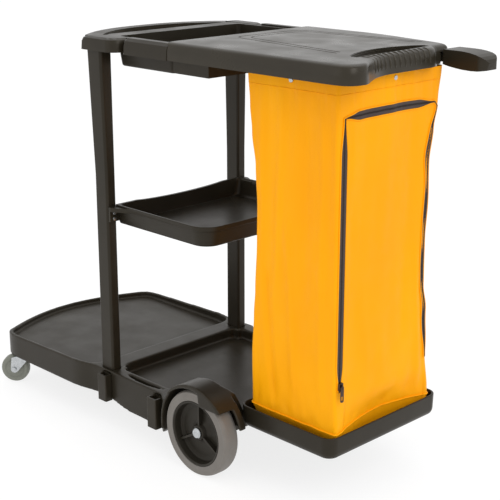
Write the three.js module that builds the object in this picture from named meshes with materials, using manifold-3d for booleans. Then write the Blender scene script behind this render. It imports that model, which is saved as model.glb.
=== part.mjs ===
// A janitor's cleaning cart. Millimetres, +Z up, +X towards the bag end. Inside the cart group
// X is counted from the line of the two uprights, and Y from the cart's middle plane.
import * as THREE from "three";
import { mergeVertices } from "three/addons/utils/BufferGeometryUtils.js";
import Module from "manifold-3d";

const wasm = await Module();
wasm.setup();

// ---- driving dimensions ----
const GAP = 0.3; // between pieces that touch
const POST_LINE_X = -162; // from the middle of the cart's length to the uprights

// base deck
const DECK_TOP = 150;
const DECK_FRONT_TOP = 138; // the rim slopes down to the front
const DECK_SLOPE_X = -60;
const DECK_HALF = 252; // half width along the front platform
const WAIST_HALF = 238; // half width between the uprights and the wheels
const FRONT_TIP_X = -488;
const DECK_REAR_X = 425;
const SKIRT_FRONT_Z = 79;
const SKIRT_REAR_Z = 60;
const SKIRT_WALL = 6;
const FRONT_RIM = 9;
const FRONT_FLOOR_Z = 127;
const FRONT_FLOOR_X = -40; // where the front recess ends
const WELL_X0 = 14;
const WELL_X1 = 408;
const WELL_HALF = 204;
const WELL_FLOOR_Z = 123;
const FLOOR_THICK = 5;
const CART_HALF = 268; // fenders
const RIDGE_X0 = -34; // hollow under the ridge that carries the uprights
const RIDGE_X1 = 6;
const CLIP_BACK_Y = 234;
const CLIP_TOP = 142;
const TOOL_CLIPS = [
  { number: 1, x: 12, outer: 256, bottom: 74 },
  { number: 2, x: 209, outer: 262, bottom: 66 },
];

// rear wheels
const WHEEL_X = 361;
const WHEEL_R = 101.6;
const WHEEL_WIDTH = 42;
const WHEEL_OUTER_Y = 260.5;
const WHEEL_INNER_Y = WHEEL_OUTER_Y - WHEEL_WIDTH;
const TYRE_INNER_R = 78;
const FENDER_R = 118;
const ARCH_R = 112;
const ARCH_INNER_Y = 212;
const ARCH_OUTER_Y = 263.5;
const FENDER_SKIRT_Z = 176; // lower edge of the band outside the wheel
const AXLE_R = 8;
const BOSS_OUTER_Y = 252;
const AXLE_END_Y = 255;
const HUB_WEB_Y = 234;
const BOSS_R = 19;

// front casters
const CASTER_X = -372; // swivel axis
const CASTER_Y = 213;
const CASTER_R = 38;
const CASTER_WIDTH = 26;
const CASTER_TRAIL = 34;
const CASTER_YAW = THREE.MathUtils.degToRad(40);
const CASTER_PAD_Z = 106;
const CASTER_RACE_Z = CASTER_PAD_Z - 10;
const CASTER_PLATE_R = 25;
const KINGPIN_R = 4;

// uprights
const POST_X = 3;
const POST_Y = 215;
const POST_LONG = 46; // along X
const POST_THICK = 28; // along Y
const POST_WALL = 3.5;
const POST_FOOT_Z = 112;
const POST_HEAD_Z = 962;
const POST_CORNER_R = 7;
const POST_FLARE_Z = 640; // above this the uprights widen towards the top frame
const POST_FLARE = 6;

// middle shelf
const SHELF_X0 = 27;
const SHELF_X1 = 346;
const SHELF_HALF = 207;
const SHELF_TOP = 570;
const SHELF_BOTTOM = 520;
const SHELF_WALL = 4.5;
const SHELF_SCREW_Z = [537, 551];
const SCREW_R = 2.5; // shelf, platform and hoop

// top frame
const FRAME_LIP_Z = 935;
const FRAME_TOP = 971;
const FRAME_HALF = 235;
const CAP_X0 = -32;
const CAP_X1 = 92;
const CAP_HALF = 250;
const CAP_TOP = 968;
const NOTCH = 14; // gap that holds a tool handle
const BOW = 84; // how far the push handle stands out
const HANDLE_WIDTH = 30;
const BEAM_X0 = 236;
const BEAM_X1 = 350;
const BEAM_BOTTOM = 903;
const BEAM_TOP = 958;
const INNER_RAIL_HALF = 222; // rails under the lid
const END_BEAM_X0 = 686;
const END_BEAM_X1 = 698;
const PANEL_X1 = 440;
const ARM_X0 = 704;
const ARM_TIP_X = 812;
const ARM_Y0 = 146;
const ARM_Y1 = 206;

// lid
const LID_X0 = 253;
const LID_TOP = 975;
const LID_LIP_Z = 936;
const LID_PLATE = 4;
const LID_SKIRT_X0 = 259;
const LID_HALF = 234;
const LID_CORNER_X = 776;
const LID_END_X = 722;
const LID_FAR_END_X = 700; // cut back beside the tool arm
const HINGE_X = 246;
const HINGE_Z = 966.5;
const KNUCKLE_R = 6.5;
const PIN_R = 3;

// tub of the top tray
const TUB_BOTTOM = 899;
const TUB_WALL = 4;
const TUB_X0 = 36;
const TUB_X1 = 233;
const TUB_HALF = 194;

// bag and its platform
const PLATFORM_X0 = 426;
const PLATFORM_X1 = 706;
const PLATFORM_HALF = 187;
const PLATFORM_BOTTOM = 126;
const PLATFORM_TOP = 176;
const PLATFORM_WALL = 4.5;
const PLATFORM_SCREW_Y = [-105, -35, 35, 105];
const PLATFORM_SCREW_Z = 118;
const BAG_BOTTOM = 133;
const BAG_TOP = 931;
const BAG_WALL = 2;
const BAG_END_X = 697;
const RIVET_Z = 922;
const RIVET_SIDE_X = 570;
const RIVET_R = 2.2;
const HOOP = { x0: 450, x1: 692, half: 162 };
const HOOP_BOLT_Y = 130;
const HOOP_BOLTS = [
  { name: "front", x: 431, seat: 949 },
  { name: "rear", x: 688, seat: 955 },
];
const ZIP_WIDTH = 18;
const ZIP_NEAR_Y = -162;
const ZIP_FAR_Y = 124;
const ZIP_BOTTOM = 275;
const ZIP_TOP = 866;
const ZIP_FACE_X = BAG_END_X + GAP;
const TAPE_THICK = 1.5;

// ---- colours ----
const CHARCOAL = 0x3c3832;
const DARK_HUB = 0x2e2b28;
const TYRE_GREY = 0x69665f;
const CASTER_GREY = 0x919387;
const ZINC = 0xb4b8ba;
const BAG_YELLOW = 0xfaa816;
const ZIP_BROWN = 0x3c2d28;

// ---- shape helpers ----
// Points of a closed path, each once, in one order.
function ring(path, divisions = 4) {
  const points = path.getPoints(divisions);
  const once = points.filter((p, i) => p.distanceTo(points[(i + 1) % points.length]) > 0.01);
  return THREE.ShapeUtils.isClockWise(once) ? once.reverse() : once;
}

function solid(geometry) {
  const bare = geometry.index ? geometry.toNonIndexed() : geometry.clone();
  bare.deleteAttribute("normal");
  bare.deleteAttribute("uv");
  const merged = mergeVertices(bare, 1e-3);
  const vertProperties = merged.attributes.position.array;
  const triVerts = new Uint32Array(merged.index.array);
  return new wasm.Manifold(new wasm.Mesh({ numProp: 3, vertProperties, triVerts }));
}

function surface(made) {
  const mesh = made.getMesh();
  const geometry = new THREE.BufferGeometry();
  geometry.setAttribute("position", new THREE.BufferAttribute(mesh.vertProperties, 3));
  geometry.setIndex(new THREE.BufferAttribute(mesh.triVerts, 1));
  return geometry;
}

const join = (first, ...others) => others.reduce((a, b) => a.add(b), first);
const cut = (first, ...others) => others.reduce((a, b) => a.subtract(b), first);

function box(x0, x1, y0, y1, z0, z1) {
  const shape = new THREE.BoxGeometry(x1 - x0, y1 - y0, z1 - z0);
  return solid(shape.translate((x0 + x1) / 2, (y0 + y1) / 2, (z0 + z1) / 2));
}

// A solid through level outlines of equal point count, lowest first.
function loft(levels) {
  const count = levels[0].points.length;
  const position = levels.flatMap(({ z, points }) => points.flatMap((p) => [p.x, p.y, z]));
  const index = [];
  for (let level = 0; level + 1 < levels.length; level++)
    for (let i = 0; i < count; i++) {
      const a = level * count + i;
      const b = level * count + ((i + 1) % count);
      index.push(a, b, b + count, a, b + count, a + count);
    }
  const last = (levels.length - 1) * count;
  for (const [a, b, c] of THREE.ShapeUtils.triangulateShape(levels[0].points, []))
    index.push(c, b, a);
  for (const [a, b, c] of THREE.ShapeUtils.triangulateShape(levels.at(-1).points, []))
    index.push(last + a, last + b, last + c);
  const geometry = new THREE.BufferGeometry();
  geometry.setAttribute("position", new THREE.Float32BufferAttribute(position, 3));
  return solid(geometry.setIndex(index));
}

function prismZ(path, z0, z1, divisions) {
  const points = ring(path, divisions);
  return loft([{ z: z0, points }, { z: z1, points }]);
}

// A path drawn in X and Z, extruded from y0 to y1.
function prismY(path, y0, y1, divisions) {
  const settings = { depth: y1 - y0, bevelEnabled: false };
  const shape = new THREE.ExtrudeGeometry(new THREE.Shape(ring(path, divisions)), settings);
  return solid(shape.rotateX(Math.PI / 2).translate(0, y1, 0));
}

// A path drawn in Y and Z, extruded from x0 to x1.
function prismX(path, x0, x1, divisions) {
  const settings = { depth: x1 - x0, bevelEnabled: false };
  const shape = new THREE.ExtrudeGeometry(new THREE.Shape(ring(path, divisions)), settings);
  const turn = new THREE.Matrix4().makeBasis(
    new THREE.Vector3(0, 1, 0),
    new THREE.Vector3(0, 0, 1),
    new THREE.Vector3(1, 0, 0),
  );
  return solid(shape.applyMatrix4(turn).translate(x0, 0, 0));
}

function polygon(...corners) {
  return new THREE.Path(corners.map(([a, b]) => new THREE.Vector2(a, b)));
}

function roundedRect(x0, x1, y0, y1, r) {
  const quarter = Math.PI / 2;
  const path = new THREE.Path();
  path.moveTo(x0 + r, y0);
  path.absarc(x1 - r, y0 + r, r, -quarter, 0);
  path.absarc(x1 - r, y1 - r, r, 0, quarter);
  path.absarc(x0 + r, y1 - r, r, quarter, 2 * quarter);
  path.absarc(x0 + r, y0 + r, r, 2 * quarter, 3 * quarter);
  return path;
}

// A rectangle whose four corners have their own radii: near -X, near +X, far +X, far -X.
function filleted(x0, x1, y0, y1, [a, b, c, d]) {
  const quarter = Math.PI / 2;
  const path = new THREE.Path();
  path.moveTo(x0 + a, y0);
  path.absarc(x1 - b, y0 + b, b, -quarter, 0);
  path.absarc(x1 - c, y1 - c, c, 0, quarter);
  path.absarc(x0 + d, y1 - d, d, quarter, 2 * quarter);
  path.absarc(x0 + a, y0 + a, a, 2 * quarter, 3 * quarter);
  return path;
}

function circle(x, y, r) {
  return new THREE.Path().absarc(x, y, r, 0, 2 * Math.PI);
}

// A turned solid about the Y axis: profile points are [radius, y].
function turnedY(profile, segments = 24) {
  const points = profile.map(([r, y]) => new THREE.Vector2(r, y));
  return solid(new THREE.LatheGeometry(points, segments));
}

const turnedZ = (profile, segments) => turnedY(profile, segments).rotate([90, 0, 0]);
const turnedX = (profile, segments) => turnedY(profile, segments).rotate([0, 0, -90]);

const rodY = (r, y0, y1, x = 0, z = 0, segments = 12) =>
  solid(new THREE.CylinderGeometry(r, r, y1 - y0, segments).translate(x, (y0 + y1) / 2, z));
const rodX = (r, x0, x1, y, z) => rodY(r, x0, x1, 0, 0, 8).rotate([0, 0, -90]).translate([0, y, z]);
const rodZ = (r, z0, z1, x, y) => rodY(r, z0, z1).rotate([90, 0, 0]).translate([x, y, 0]);

const mirrored = (made) => made.mirror([0, 1, 0]);
const both = (made) => made.add(mirrored(made));

// ---- materials and nodes ----
const plastic = (color) => new THREE.MeshStandardMaterial({ color, roughness: 0.55, metalness: 0 });
const rubber = (color) => new THREE.MeshStandardMaterial({ color, roughness: 0.8, metalness: 0 });
const metal = (color) => new THREE.MeshStandardMaterial({ color, roughness: 0.35, metalness: 1 });

const cart = new THREE.Group();
cart.position.x = POST_LINE_X;

function node(name, made, material, parent = cart) {
  const mesh = new THREE.Mesh(surface(made), material);
  mesh.name = name;
  parent.add(mesh);
  return mesh;
}

const SIDES = [["near", -1], ["far", 1]];

// Outline of the far upright with clearance all round; flare widens it outwards and to the front.
function postHole(flare = 0) {
  const half = POST_LONG / 2 + GAP;
  const wide = POST_THICK / 2 + GAP;
  const [x0, x1] = [POST_X - half - flare, POST_X + half];
  return roundedRect(x0, x1, POST_Y - wide, POST_Y + wide + flare, POST_CORNER_R);
}

// ---- base deck ----
function deckPath(inset) {
  const w = DECK_HALF - inset;
  const waist = WAIST_HALF - inset;
  const rear = DECK_REAR_X - inset;
  const tip = FRONT_TIP_X + inset;
  const cornerX = tip + 62;
  const cornerY = w - 38;
  const path = new THREE.Path();
  path.moveTo(-350, -w);
  path.lineTo(-120, -w);
  path.bezierCurveTo(-65, -w, -55, -waist, 0, -waist);
  path.lineTo(rear, -waist);
  path.lineTo(rear, waist);
  path.lineTo(0, waist);
  path.bezierCurveTo(-55, waist, -65, w, -120, w);
  path.lineTo(-350, w);
  path.bezierCurveTo(-400, w, cornerX + 8, w - 10, cornerX, cornerY);
  path.quadraticCurveTo(2 * tip - cornerX, 0, cornerX, -cornerY);
  path.bezierCurveTo(cornerX + 8, 10 - w, -400, -w, -350, -w);
  return path;
}

// The deck seen from the side: its skirt drops towards the wheels.
function deckSide() {
  return polygon(
    [-500, SKIRT_FRONT_Z],
    [60, SKIRT_FRONT_Z],
    [236, SKIRT_REAR_Z],
    [256, 80],
    [300, 108],
    [440, 108],
    [440, DECK_TOP],
    [DECK_SLOPE_X, DECK_TOP],
    [-500, DECK_FRONT_TOP],
  );
}

function fender() {
  const wide = circle(WHEEL_X, WHEEL_R, FENDER_R);
  const roof = prismY(wide, ARCH_INNER_Y - 5, CART_HALF, 12);
  const below = box(WHEEL_X - 130, WHEEL_X + 130, 200, 290, -30, 78);
  const behind = box(442, 500, ARCH_INNER_Y + 14, 290, 0, 178);
  const flap = box(437, 500, 190, 290, 0, 133);
  const hollow = join(
    prismY(circle(WHEEL_X, WHEEL_R, ARCH_R), ARCH_INNER_Y, ARCH_OUTER_Y, 12),
    box(WHEEL_X - ARCH_R, WHEEL_X + ARCH_R, ARCH_INNER_Y, ARCH_OUTER_Y, -40, WHEEL_R),
    box(WHEEL_X - 140, WHEEL_X + 140, ARCH_OUTER_Y - 1, 290, -40, FENDER_SKIRT_Z),
  );
  const slope = polygon([158, 120], [210, 120], [210, 206], [196, 206], [164, 152]);
  const shoulder = prismX(slope, 268, 424).intersect(prismY(wide, 150, 214, 12));
  const filler = box(268, 424, 160, 210, 118, DECK_TOP);
  const arch = cut(join(roof, shoulder, filler), below, behind, flap);
  const flare = prismZ(polygon([222, 200], [276, 200], [276, CART_HALF], [222, 237]), 40, DECK_TOP);
  return cut(join(arch, flare.intersect(prismY(deckSide(), 100, 300))), hollow);
}

function baseDeck() {
  const outer = prismZ(deckPath(0), 40, DECK_TOP + 10, 6).intersect(prismY(deckSide(), -270, 270));
  const inside = prismZ(deckPath(SKIRT_WALL), 20, DECK_TOP - FLOOR_THICK, 6);
  const sockets = both(box(-32, 36, 196, 240, 100, DECK_TOP));
  const pads = both(rodZ(30, CASTER_PAD_Z, FRONT_FLOOR_Z, CASTER_X, CASTER_Y));
  const underFront = cut(
    inside.intersect(box(-500, -48, -260, 260, 20, FRONT_FLOOR_Z - FLOOR_THICK)),
    pads,
    box(-250, -245, -260, 260, 84, 200),
  );
  const underRidge = cut(inside.intersect(box(RIDGE_X0, RIDGE_X1, -260, 260, 20, 200)), sockets);
  const underWell = cut(
    inside.intersect(box(11, DECK_REAR_X - 11, -260, 260, 20, WELL_FLOOR_Z - FLOOR_THICK)),
    sockets,
    box(210, 215, -206, 206, 84, 200),
  );
  const frontRecess = prismZ(deckPath(FRONT_RIM), FRONT_FLOOR_Z, DECK_TOP + 20, 6).intersect(
    prismZ(roundedRect(-620, FRONT_FLOOR_X, -243, 243, 45), 0, 300),
  );
  const well = cut(
    prismZ(roundedRect(WELL_X0, WELL_X1, -WELL_HALF, WELL_HALF, 42), WELL_FLOOR_Z, 300),
    both(box(0, 37, 190, 260, 0, 400)),
  );
  const wheelRoom = both(box(250, 480, ARCH_INNER_Y - 1, 300, 0, 400));
  const slot = polygon([66, 216], [66, 221], [135, 229], [204, 221], [204, 216], [135, 222]);
  const body = cut(
    outer,
    underFront,
    underRidge,
    underWell,
    frontRecess,
    well,
    wheelRoom,
    both(prismZ(slot, 140, 160)),
  );
  const withFenders = join(body, both(fender()));
  const holes = [
    both(prismZ(postHole(), POST_FOOT_Z - GAP, 200, 3)),
    both(rodZ(4, 90, 120, POST_X, POST_Y)),
    both(rodZ(10, 40, 100, POST_X, POST_Y)),
    rodY(AXLE_R + GAP, -280, 280, WHEEL_X, WHEEL_R, 16),
    ...TOOL_CLIPS.map(({ x }) => both(box(x - 17, x + 17, CLIP_BACK_Y - GAP, 270, 40, CLIP_TOP + 5))),
    ...PLATFORM_SCREW_Y.map((y) => rodX(SCREW_R + GAP, 400, 440, y, PLATFORM_SCREW_Z)),
  ];
  return cut(withFenders, ...holes);
}

// Square socket, open at the top and the bottom, that holds a handle or a sign against the deck's side.
function toolClip(outer, bottom) {
  const block = prismZ(roundedRect(-16, 16, CLIP_BACK_Y, outer, 3), bottom, CLIP_TOP, 2);
  return cut(block, box(-11, 11, CLIP_BACK_Y + 4, outer - 4, 0, 200));
}

node("base_deck", baseDeck(), plastic(CHARCOAL));
for (const [side, sign] of SIDES)
  for (const { number, x, outer, bottom } of TOOL_CLIPS) {
    const clip = sign > 0 ? toolClip(outer, bottom) : mirrored(toolClip(outer, bottom));
    node(`tool_clip_${side}_${number}`, clip, plastic(CHARCOAL)).position.x = x;
  }

// ---- uprights ----
function upright() {
  const half = POST_LONG / 2;
  const wide = POST_THICK / 2;
  const level = (z, flare) => ({
    z,
    points: ring(roundedRect(-half - flare, half, -wide, wide + flare, POST_CORNER_R), 3),
  });
  const outer = loft([
    level(POST_FOOT_Z, 0),
    level(POST_FLARE_Z, 0),
    level(FRAME_LIP_Z, POST_FLARE),
    level(POST_HEAD_Z, POST_FLARE),
  ]);
  const a = half - POST_WALL;
  const b = wide - POST_WALL;
  const bore = prismZ(roundedRect(-a, a, -b, b, 4), DECK_TOP, POST_HEAD_Z + 10, 2);
  const screwHoles = SHELF_SCREW_Z.map((z) => rodX(SCREW_R + GAP, half - 8, half + 5, 0, z));
  return cut(outer, bore, rodZ(3.2 + GAP, POST_FOOT_Z - 5, POST_FOOT_Z + 26, 0, 0), ...screwHoles);
}

for (const [side, sign] of SIDES) {
  const post = sign > 0 ? upright() : mirrored(upright());
  node(`upright_${side}`, post, plastic(CHARCOAL)).position.set(POST_X, sign * POST_Y, 0);
  const profile = [[0, 95], [7, 95], [7, 99.6], [3.2, 99.6], [3.2, 134], [0, 134]];
  const bolt = node(`upright_bolt_${side}`, turnedZ(profile, 10), metal(ZINC));
  bolt.position.set(POST_X, sign * POST_Y, 0);
}

// ---- middle shelf ----
function middleShelf() {
  const level = (z, inset, r) => ({
    z,
    points: ring(
      filleted(SHELF_X0, SHELF_X1 - inset, inset - SHELF_HALF, SHELF_HALF - inset, [3, r, r, 3]),
      4,
    ),
  });
  const hollowLevel = (z, inset, r) => ({
    z,
    points: ring(
      filleted(SHELF_X0 + SHELF_WALL + 2, SHELF_X1 - inset, inset - SHELF_HALF, SHELF_HALF - inset, [
        14,
        r,
        r,
        14,
      ]),
      4,
    ),
  });
  const shell = loft([
    level(SHELF_BOTTOM, 12, 44),
    level(SHELF_TOP - 11, 5, 46),
    level(SHELF_TOP - 10, 1, 50),
    level(SHELF_TOP, 0, 50),
  ]);
  const hollow = loft([
    hollowLevel(SHELF_BOTTOM + SHELF_WALL, 14 + SHELF_WALL, 36),
    hollowLevel(SHELF_TOP + 3, 5 + SHELF_WALL, 42),
  ]);
  const ear = join(
    box(SHELF_X0, SHELF_X0 + 6, 150, POST_Y + 12, 530, 566),
    prismZ(polygon([27, 190], [27, 227], [37, 227], [80, 203], [80, 190]), 556, 566),
  );
  const dip = new THREE.Path();
  dip.moveTo(-150, SHELF_TOP + 1);
  dip.bezierCurveTo(-90, SHELF_TOP - 8, 90, SHELF_TOP - 8, 150, SHELF_TOP + 1);
  const holes = SHELF_SCREW_Z.map((z) => both(rodX(SCREW_R + GAP, 10, 40, POST_Y, z)));
  const ears = cut(both(ear), box(0, 400, -SHELF_HALF + 12, SHELF_HALF - 12, 500, 600));
  return cut(join(cut(shell, hollow), ears), prismX(dip, 20, SHELF_X0 + 20, 8), ...holes);
}

// A pan-head screw along X, its head's outer face at x = head.
function screwX(head, length) {
  const neck = head - 3;
  const profile = [
    [0, head - length],
    [SCREW_R, head - length],
    [SCREW_R, neck],
    [5, neck],
    [4.2, head],
    [0, head],
  ];
  return turnedX(profile, 8);
}

node("middle_shelf", middleShelf(), plastic(CHARCOAL));
for (const [side, sign] of SIDES)
  SHELF_SCREW_Z.forEach((z, i) => {
    const screw = screwX(SHELF_X0 + 6 + GAP + 3, 22);
    const placed = node(`shelf_screw_${side}_${i + 1}`, screw, metal(ZINC));
    placed.position.set(0, sign * POST_Y, z);
  });

// ---- top frame ----
const bow = (y) => CAP_X0 - BOW * (1 - Math.abs(y / FRAME_HALF) ** 2.5);

function pushHandle() {
  const points = [];
  const reach = 226;
  const steps = 14;
  for (let i = 0; i <= steps; i++) {
    const y = -reach + (2 * reach * i) / steps;
    points.push([bow(y), y]);
  }
  for (let i = steps; i >= 0; i--) {
    const y = -reach + (2 * reach * i) / steps;
    const inner = y * (1 - HANDLE_WIDTH / reach / 1.2);
    points.push([bow(y) + HANDLE_WIDTH, inner]);
  }
  return prismZ(polygon(...points), 940, 966);
}

function toolArm() {
  const tip = ARM_TIP_X;
  const profile = new THREE.Path();
  profile.moveTo(ARM_X0, 936);
  profile.lineTo(ARM_X0, 967);
  profile.lineTo(744, 967);
  profile.bezierCurveTo(772, 967, tip - 2, 962, tip, 946);
  profile.lineTo(tip - 2, 931);
  profile.bezierCurveTo(780, 925, 735, 929, ARM_X0, 936);
  const plan = prismZ(filleted(ARM_X0, tip, ARM_Y0, ARM_Y1, [3, 20, 26, 3]), 900, 980, 4);
  const arm = prismY(profile, ARM_Y0 - 5, ARM_Y1 + 5, 6).intersect(plan);
  const root = box(END_BEAM_X0, ARM_X0 + 6, ARM_Y0 + 6, 174, 940, 953);
  const under = new THREE.Path();
  under.moveTo(ARM_X0 + 8, 915);
  under.lineTo(ARM_X0 + 8, 960);
  under.bezierCurveTo(765, 961, tip - 12, 957, tip - 10, 942);
  under.lineTo(tip - 10, 915);
  const room = prismZ(filleted(ARM_X0 + 8, tip - 9, ARM_Y0 + 5, ARM_Y1 - 5, [2, 15, 20, 2]), 900, 980, 3);
  return join(cut(arm, prismY(under, ARM_Y0, ARM_Y1, 6).intersect(room)), root);
}

function topFrame() {
  const capLevel = (z, inset) => {
    const corners = [3, 3, 30, 12];
    const outline = filleted(CAP_X0 + inset, CAP_X1 - inset, 204, CAP_HALF - inset, corners);
    return { z, points: ring(outline, 3) };
  };
  const cap = loft([
    capLevel(937, 0),
    capLevel(CAP_TOP - 12, 1),
    capLevel(CAP_TOP - 4, 4),
    capLevel(CAP_TOP, 11),
  ]);
  const railX0 = CAP_X1 + NOTCH;
  const railLevel = (z, inset) => ({
    z,
    points: ring(filleted(railX0, 257, 204, FRAME_HALF - inset, [3, 2, 2, 7]), 2),
  });
  const rail = loft([
    railLevel(FRAME_LIP_Z, 0),
    railLevel(FRAME_TOP - 17, 1),
    railLevel(FRAME_TOP - 6, 5),
    railLevel(FRAME_TOP, 14),
  ]);
  const innerStrip = box(CAP_X0 + 4, 258, 196.5, 210, 938, 964);
  const underLid = prismZ(lidPath(10, 200), 900, 1000, 3);
  const lidRail = both(box(250, END_BEAM_X1, 190, INNER_RAIL_HALF, FRAME_LIP_Z, 964));
  const beam = cut(
    box(BEAM_X0, BEAM_X1, -197, 197, BEAM_BOTTOM, BEAM_TOP),
    box(BEAM_X0 + 5, BEAM_X1 - 5, -185, 185, BEAM_BOTTOM - 5, BEAM_TOP - 5),
  );
  const endMember = box(-21, 6, -207, 207, 940, 964);
  const panel = box(BEAM_X1 - 4, PANEL_X1, -200, 200, 944, 949);
  const endBeam = box(END_BEAM_X0, END_BEAM_X1, -205, 205, 938, 955);
  const knuckles = [[-117, -38], [38, 117]].map(([y0, y1]) =>
    join(
      rodY(KNUCKLE_R, y0, y1, HINGE_X, HINGE_Z, 12),
      box(HINGE_X - 5, HINGE_X + 5, y0, y1, BEAM_TOP - 2, HINGE_Z),
    ),
  );
  const corner = cut(box(540, END_BEAM_X1, 120, 222, 938, 955), prismZ(lidPath(30, 200), 900, 1000, 3));
  const covered = join(lidRail, endBeam, corner).intersect(underLid);
  const sides = both(join(cap, rail, innerStrip));
  const body = join(sides, covered, endMember, beam, panel, pushHandle(), toolArm(), ...knuckles);
  return cut(
    body,
    both(prismZ(postHole(POST_FLARE), 900, POST_HEAD_Z + GAP, 3)),
    both(box(railX0 + 5, 250, 212, FRAME_HALF - 6, 900, FRAME_TOP - 14)),
    both(box(CAP_X1, railX0, 210, 300, 900, 1000)),
    both(box(LID_X0 - 0.6, 300, 190, 300, LID_TOP - LID_PLATE - 2.5, 1000)),
    rodY(PIN_R + GAP, -130, 130, HINGE_X, HINGE_Z, 12),
    ...HOOP_BOLTS.map(({ x }) => both(rodZ(SCREW_R + GAP, 930, 960, x, HOOP_BOLT_Y))),
  );
}

node("top_frame", topFrame(), plastic(CHARCOAL));

// ---- top tray ----
function topTray() {
  const level = (z, inset, r, wall = 0) => ({
    z,
    points: ring(
      roundedRect(
        TUB_X0 + inset + wall,
        TUB_X1 - inset - wall,
        inset + wall - TUB_HALF,
        TUB_HALF - inset - wall,
        r,
      ),
      3,
    ),
  });
  const shell = loft([level(TUB_BOTTOM, 6, 10), level(TUB_BOTTOM + 5, 3, 12), level(966, 0, 14)]);
  const flange = prismZ(roundedRect(-6, TUB_X1 + 1, -202, 202, 30), 964.4, 967.4, 3);
  const low = TUB_BOTTOM + TUB_WALL;
  const hollow = loft([
    level(low, 6, 7, TUB_WALL),
    level(low + 5, 3, 9, TUB_WALL),
    level(980, 0, 10, TUB_WALL),
  ]);
  return cut(join(shell, flange), hollow);
}

node("top_tray", topTray(), plastic(CHARCOAL));

// ---- lid ----
function lidPath(inset, x0) {
  const near = inset - LID_HALF;
  const far = LID_HALF - inset;
  const corner = LID_CORNER_X - inset;
  const end = LID_END_X - inset;
  const farEnd = LID_FAR_END_X - inset;
  const path = new THREE.Path();
  path.moveTo(x0, near);
  path.lineTo(690, near);
  path.bezierCurveTo(750, near, corner, near, corner, near + 52);
  path.bezierCurveTo(corner, -145, end, -110, end, -35);
  path.lineTo(end, 85);
  path.bezierCurveTo(end, 120, farEnd, 110, farEnd, 138);
  path.lineTo(farEnd, 168);
  path.bezierCurveTo(farEnd, far - 42, 650, far - 33, 600, far - 25);
  path.bezierCurveTo(540, far - 15, 490, far, 420, far);
  path.lineTo(x0, far);
  return path;
}

function lid() {
  const level = (z, inset, x0 = LID_X0) => ({ z, points: ring(lidPath(inset, x0), 5) });
  const shell = loft([
    level(LID_LIP_Z, 0),
    level(957, 1),
    level(968, 5),
    level(973, 11),
    level(LID_TOP, 18),
  ]);
  const under = LID_TOP - LID_PLATE;
  const inner = loft([
    level(900, LID_PLATE, 200),
    level(957, 1 + LID_PLATE, 200),
    level(966, 5 + LID_PLATE, 200),
    level(under, 11 + LID_PLATE, 200),
  ]);
  const openEdge = box(200, LID_SKIRT_X0, -300, 300, 900, under - 2);
  const gripPad = box(664, 706, -112, 112, 958, under + 1);
  const scoop = prismZ(roundedRect(670, 698, -104, 104, 13.5), 963, 990, 5);
  const knuckles = [[-188, -121], [-34, 34], [121, 188]].map(([y0, y1]) =>
    join(
      rodY(KNUCKLE_R, y0, y1, HINGE_X, HINGE_Z, 12),
      box(HINGE_X + 1, LID_X0 + 3, y0, y1, HINGE_Z, under + 1),
    ),
  );
  const body = join(cut(shell, inner, openEdge), gripPad, ...knuckles);
  const armNotch = box(690, 740, ARM_Y0, 196, 900, 961);
  return cut(body, scoop, armNotch, rodY(PIN_R + GAP, -180, 200, HINGE_X, HINGE_Z, 12));
}

node("lid", lid(), plastic(CHARCOAL));
node("lid_hinge_pin", rodY(PIN_R, -179, 187, HINGE_X, HINGE_Z, 12), metal(ZINC));

// ---- bag hoop ----
function bagHoop() {
  const { x0, x1, half } = HOOP;
  const outline = prismZ(roundedRect(x0, x1, -half, half, 22), 915, 929, 3);
  const opening = prismZ(roundedRect(x0 + 9, x1 - 9, 9 - half, half - 9, 14), 900, 940, 2);
  const hangers = both(box(x0, x0 + 8, 118, 142, 920, 943.6));
  const ears = both(box(422, x0 + 4, 118, 142, 937, 943.6));
  const rearHangers = both(box(x1 - 10, x1 + 2, 118, 142, 920, 937.6));
  const hoop = join(cut(outline, opening), hangers, ears, rearHangers);
  const holes = HOOP_BOLTS.map(({ x }) => both(rodZ(SCREW_R + GAP, 924, 950, x, HOOP_BOLT_Y)));
  return cut(hoop, ...holes);
}

node("bag_hoop", bagHoop(), metal(ZINC));
for (const [side, sign] of SIDES)
  for (const { name, x, seat } of HOOP_BOLTS) {
    const profile = [[0, -20], [SCREW_R, -20], [SCREW_R, 0], [5, 0], [4, 2.5], [0, 2.5]];
    const bolt = node(`hoop_bolt_${name}_${side}`, turnedZ(profile, 8), metal(ZINC));
    bolt.position.set(x, sign * HOOP_BOLT_Y, seat + GAP);
  }

// ---- bag platform ----
function bagPlatform() {
  const level = (z, inset, r) => ({
    z,
    points: ring(
      roundedRect(
        PLATFORM_X0 + inset,
        PLATFORM_X1 - inset,
        inset - PLATFORM_HALF,
        PLATFORM_HALF - inset,
        r,
      ),
      3,
    ),
  });
  const w = PLATFORM_WALL;
  const shell = loft([
    level(PLATFORM_BOTTOM, 4, 22),
    level(PLATFORM_BOTTOM + 6, 1, 24),
    level(PLATFORM_TOP, 0, 26),
  ]);
  const hollow = loft([
    level(PLATFORM_BOTTOM + w, 4 + w, 18),
    level(PLATFORM_BOTTOM + w + 6, 1 + w, 20),
    level(PLATFORM_TOP + 5, w, 22),
  ]);
  const flange = box(PLATFORM_X0, PLATFORM_X0 + 6, -125, 125, 110, PLATFORM_BOTTOM + 12);
  const gusset = polygon([430, 110], [436, 110], [640, PLATFORM_BOTTOM + 2], [430, PLATFORM_BOTTOM + 2]);
  const gussets = [-120, -70, 0, 70, 120].map((y) => prismY(gusset, y - 2.5, y + 2.5));
  const holes = PLATFORM_SCREW_Y.map((y) => rodX(SCREW_R + GAP, 400, 440, y, PLATFORM_SCREW_Z));
  return cut(join(cut(shell, hollow), flange, ...gussets), ...holes);
}

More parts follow.
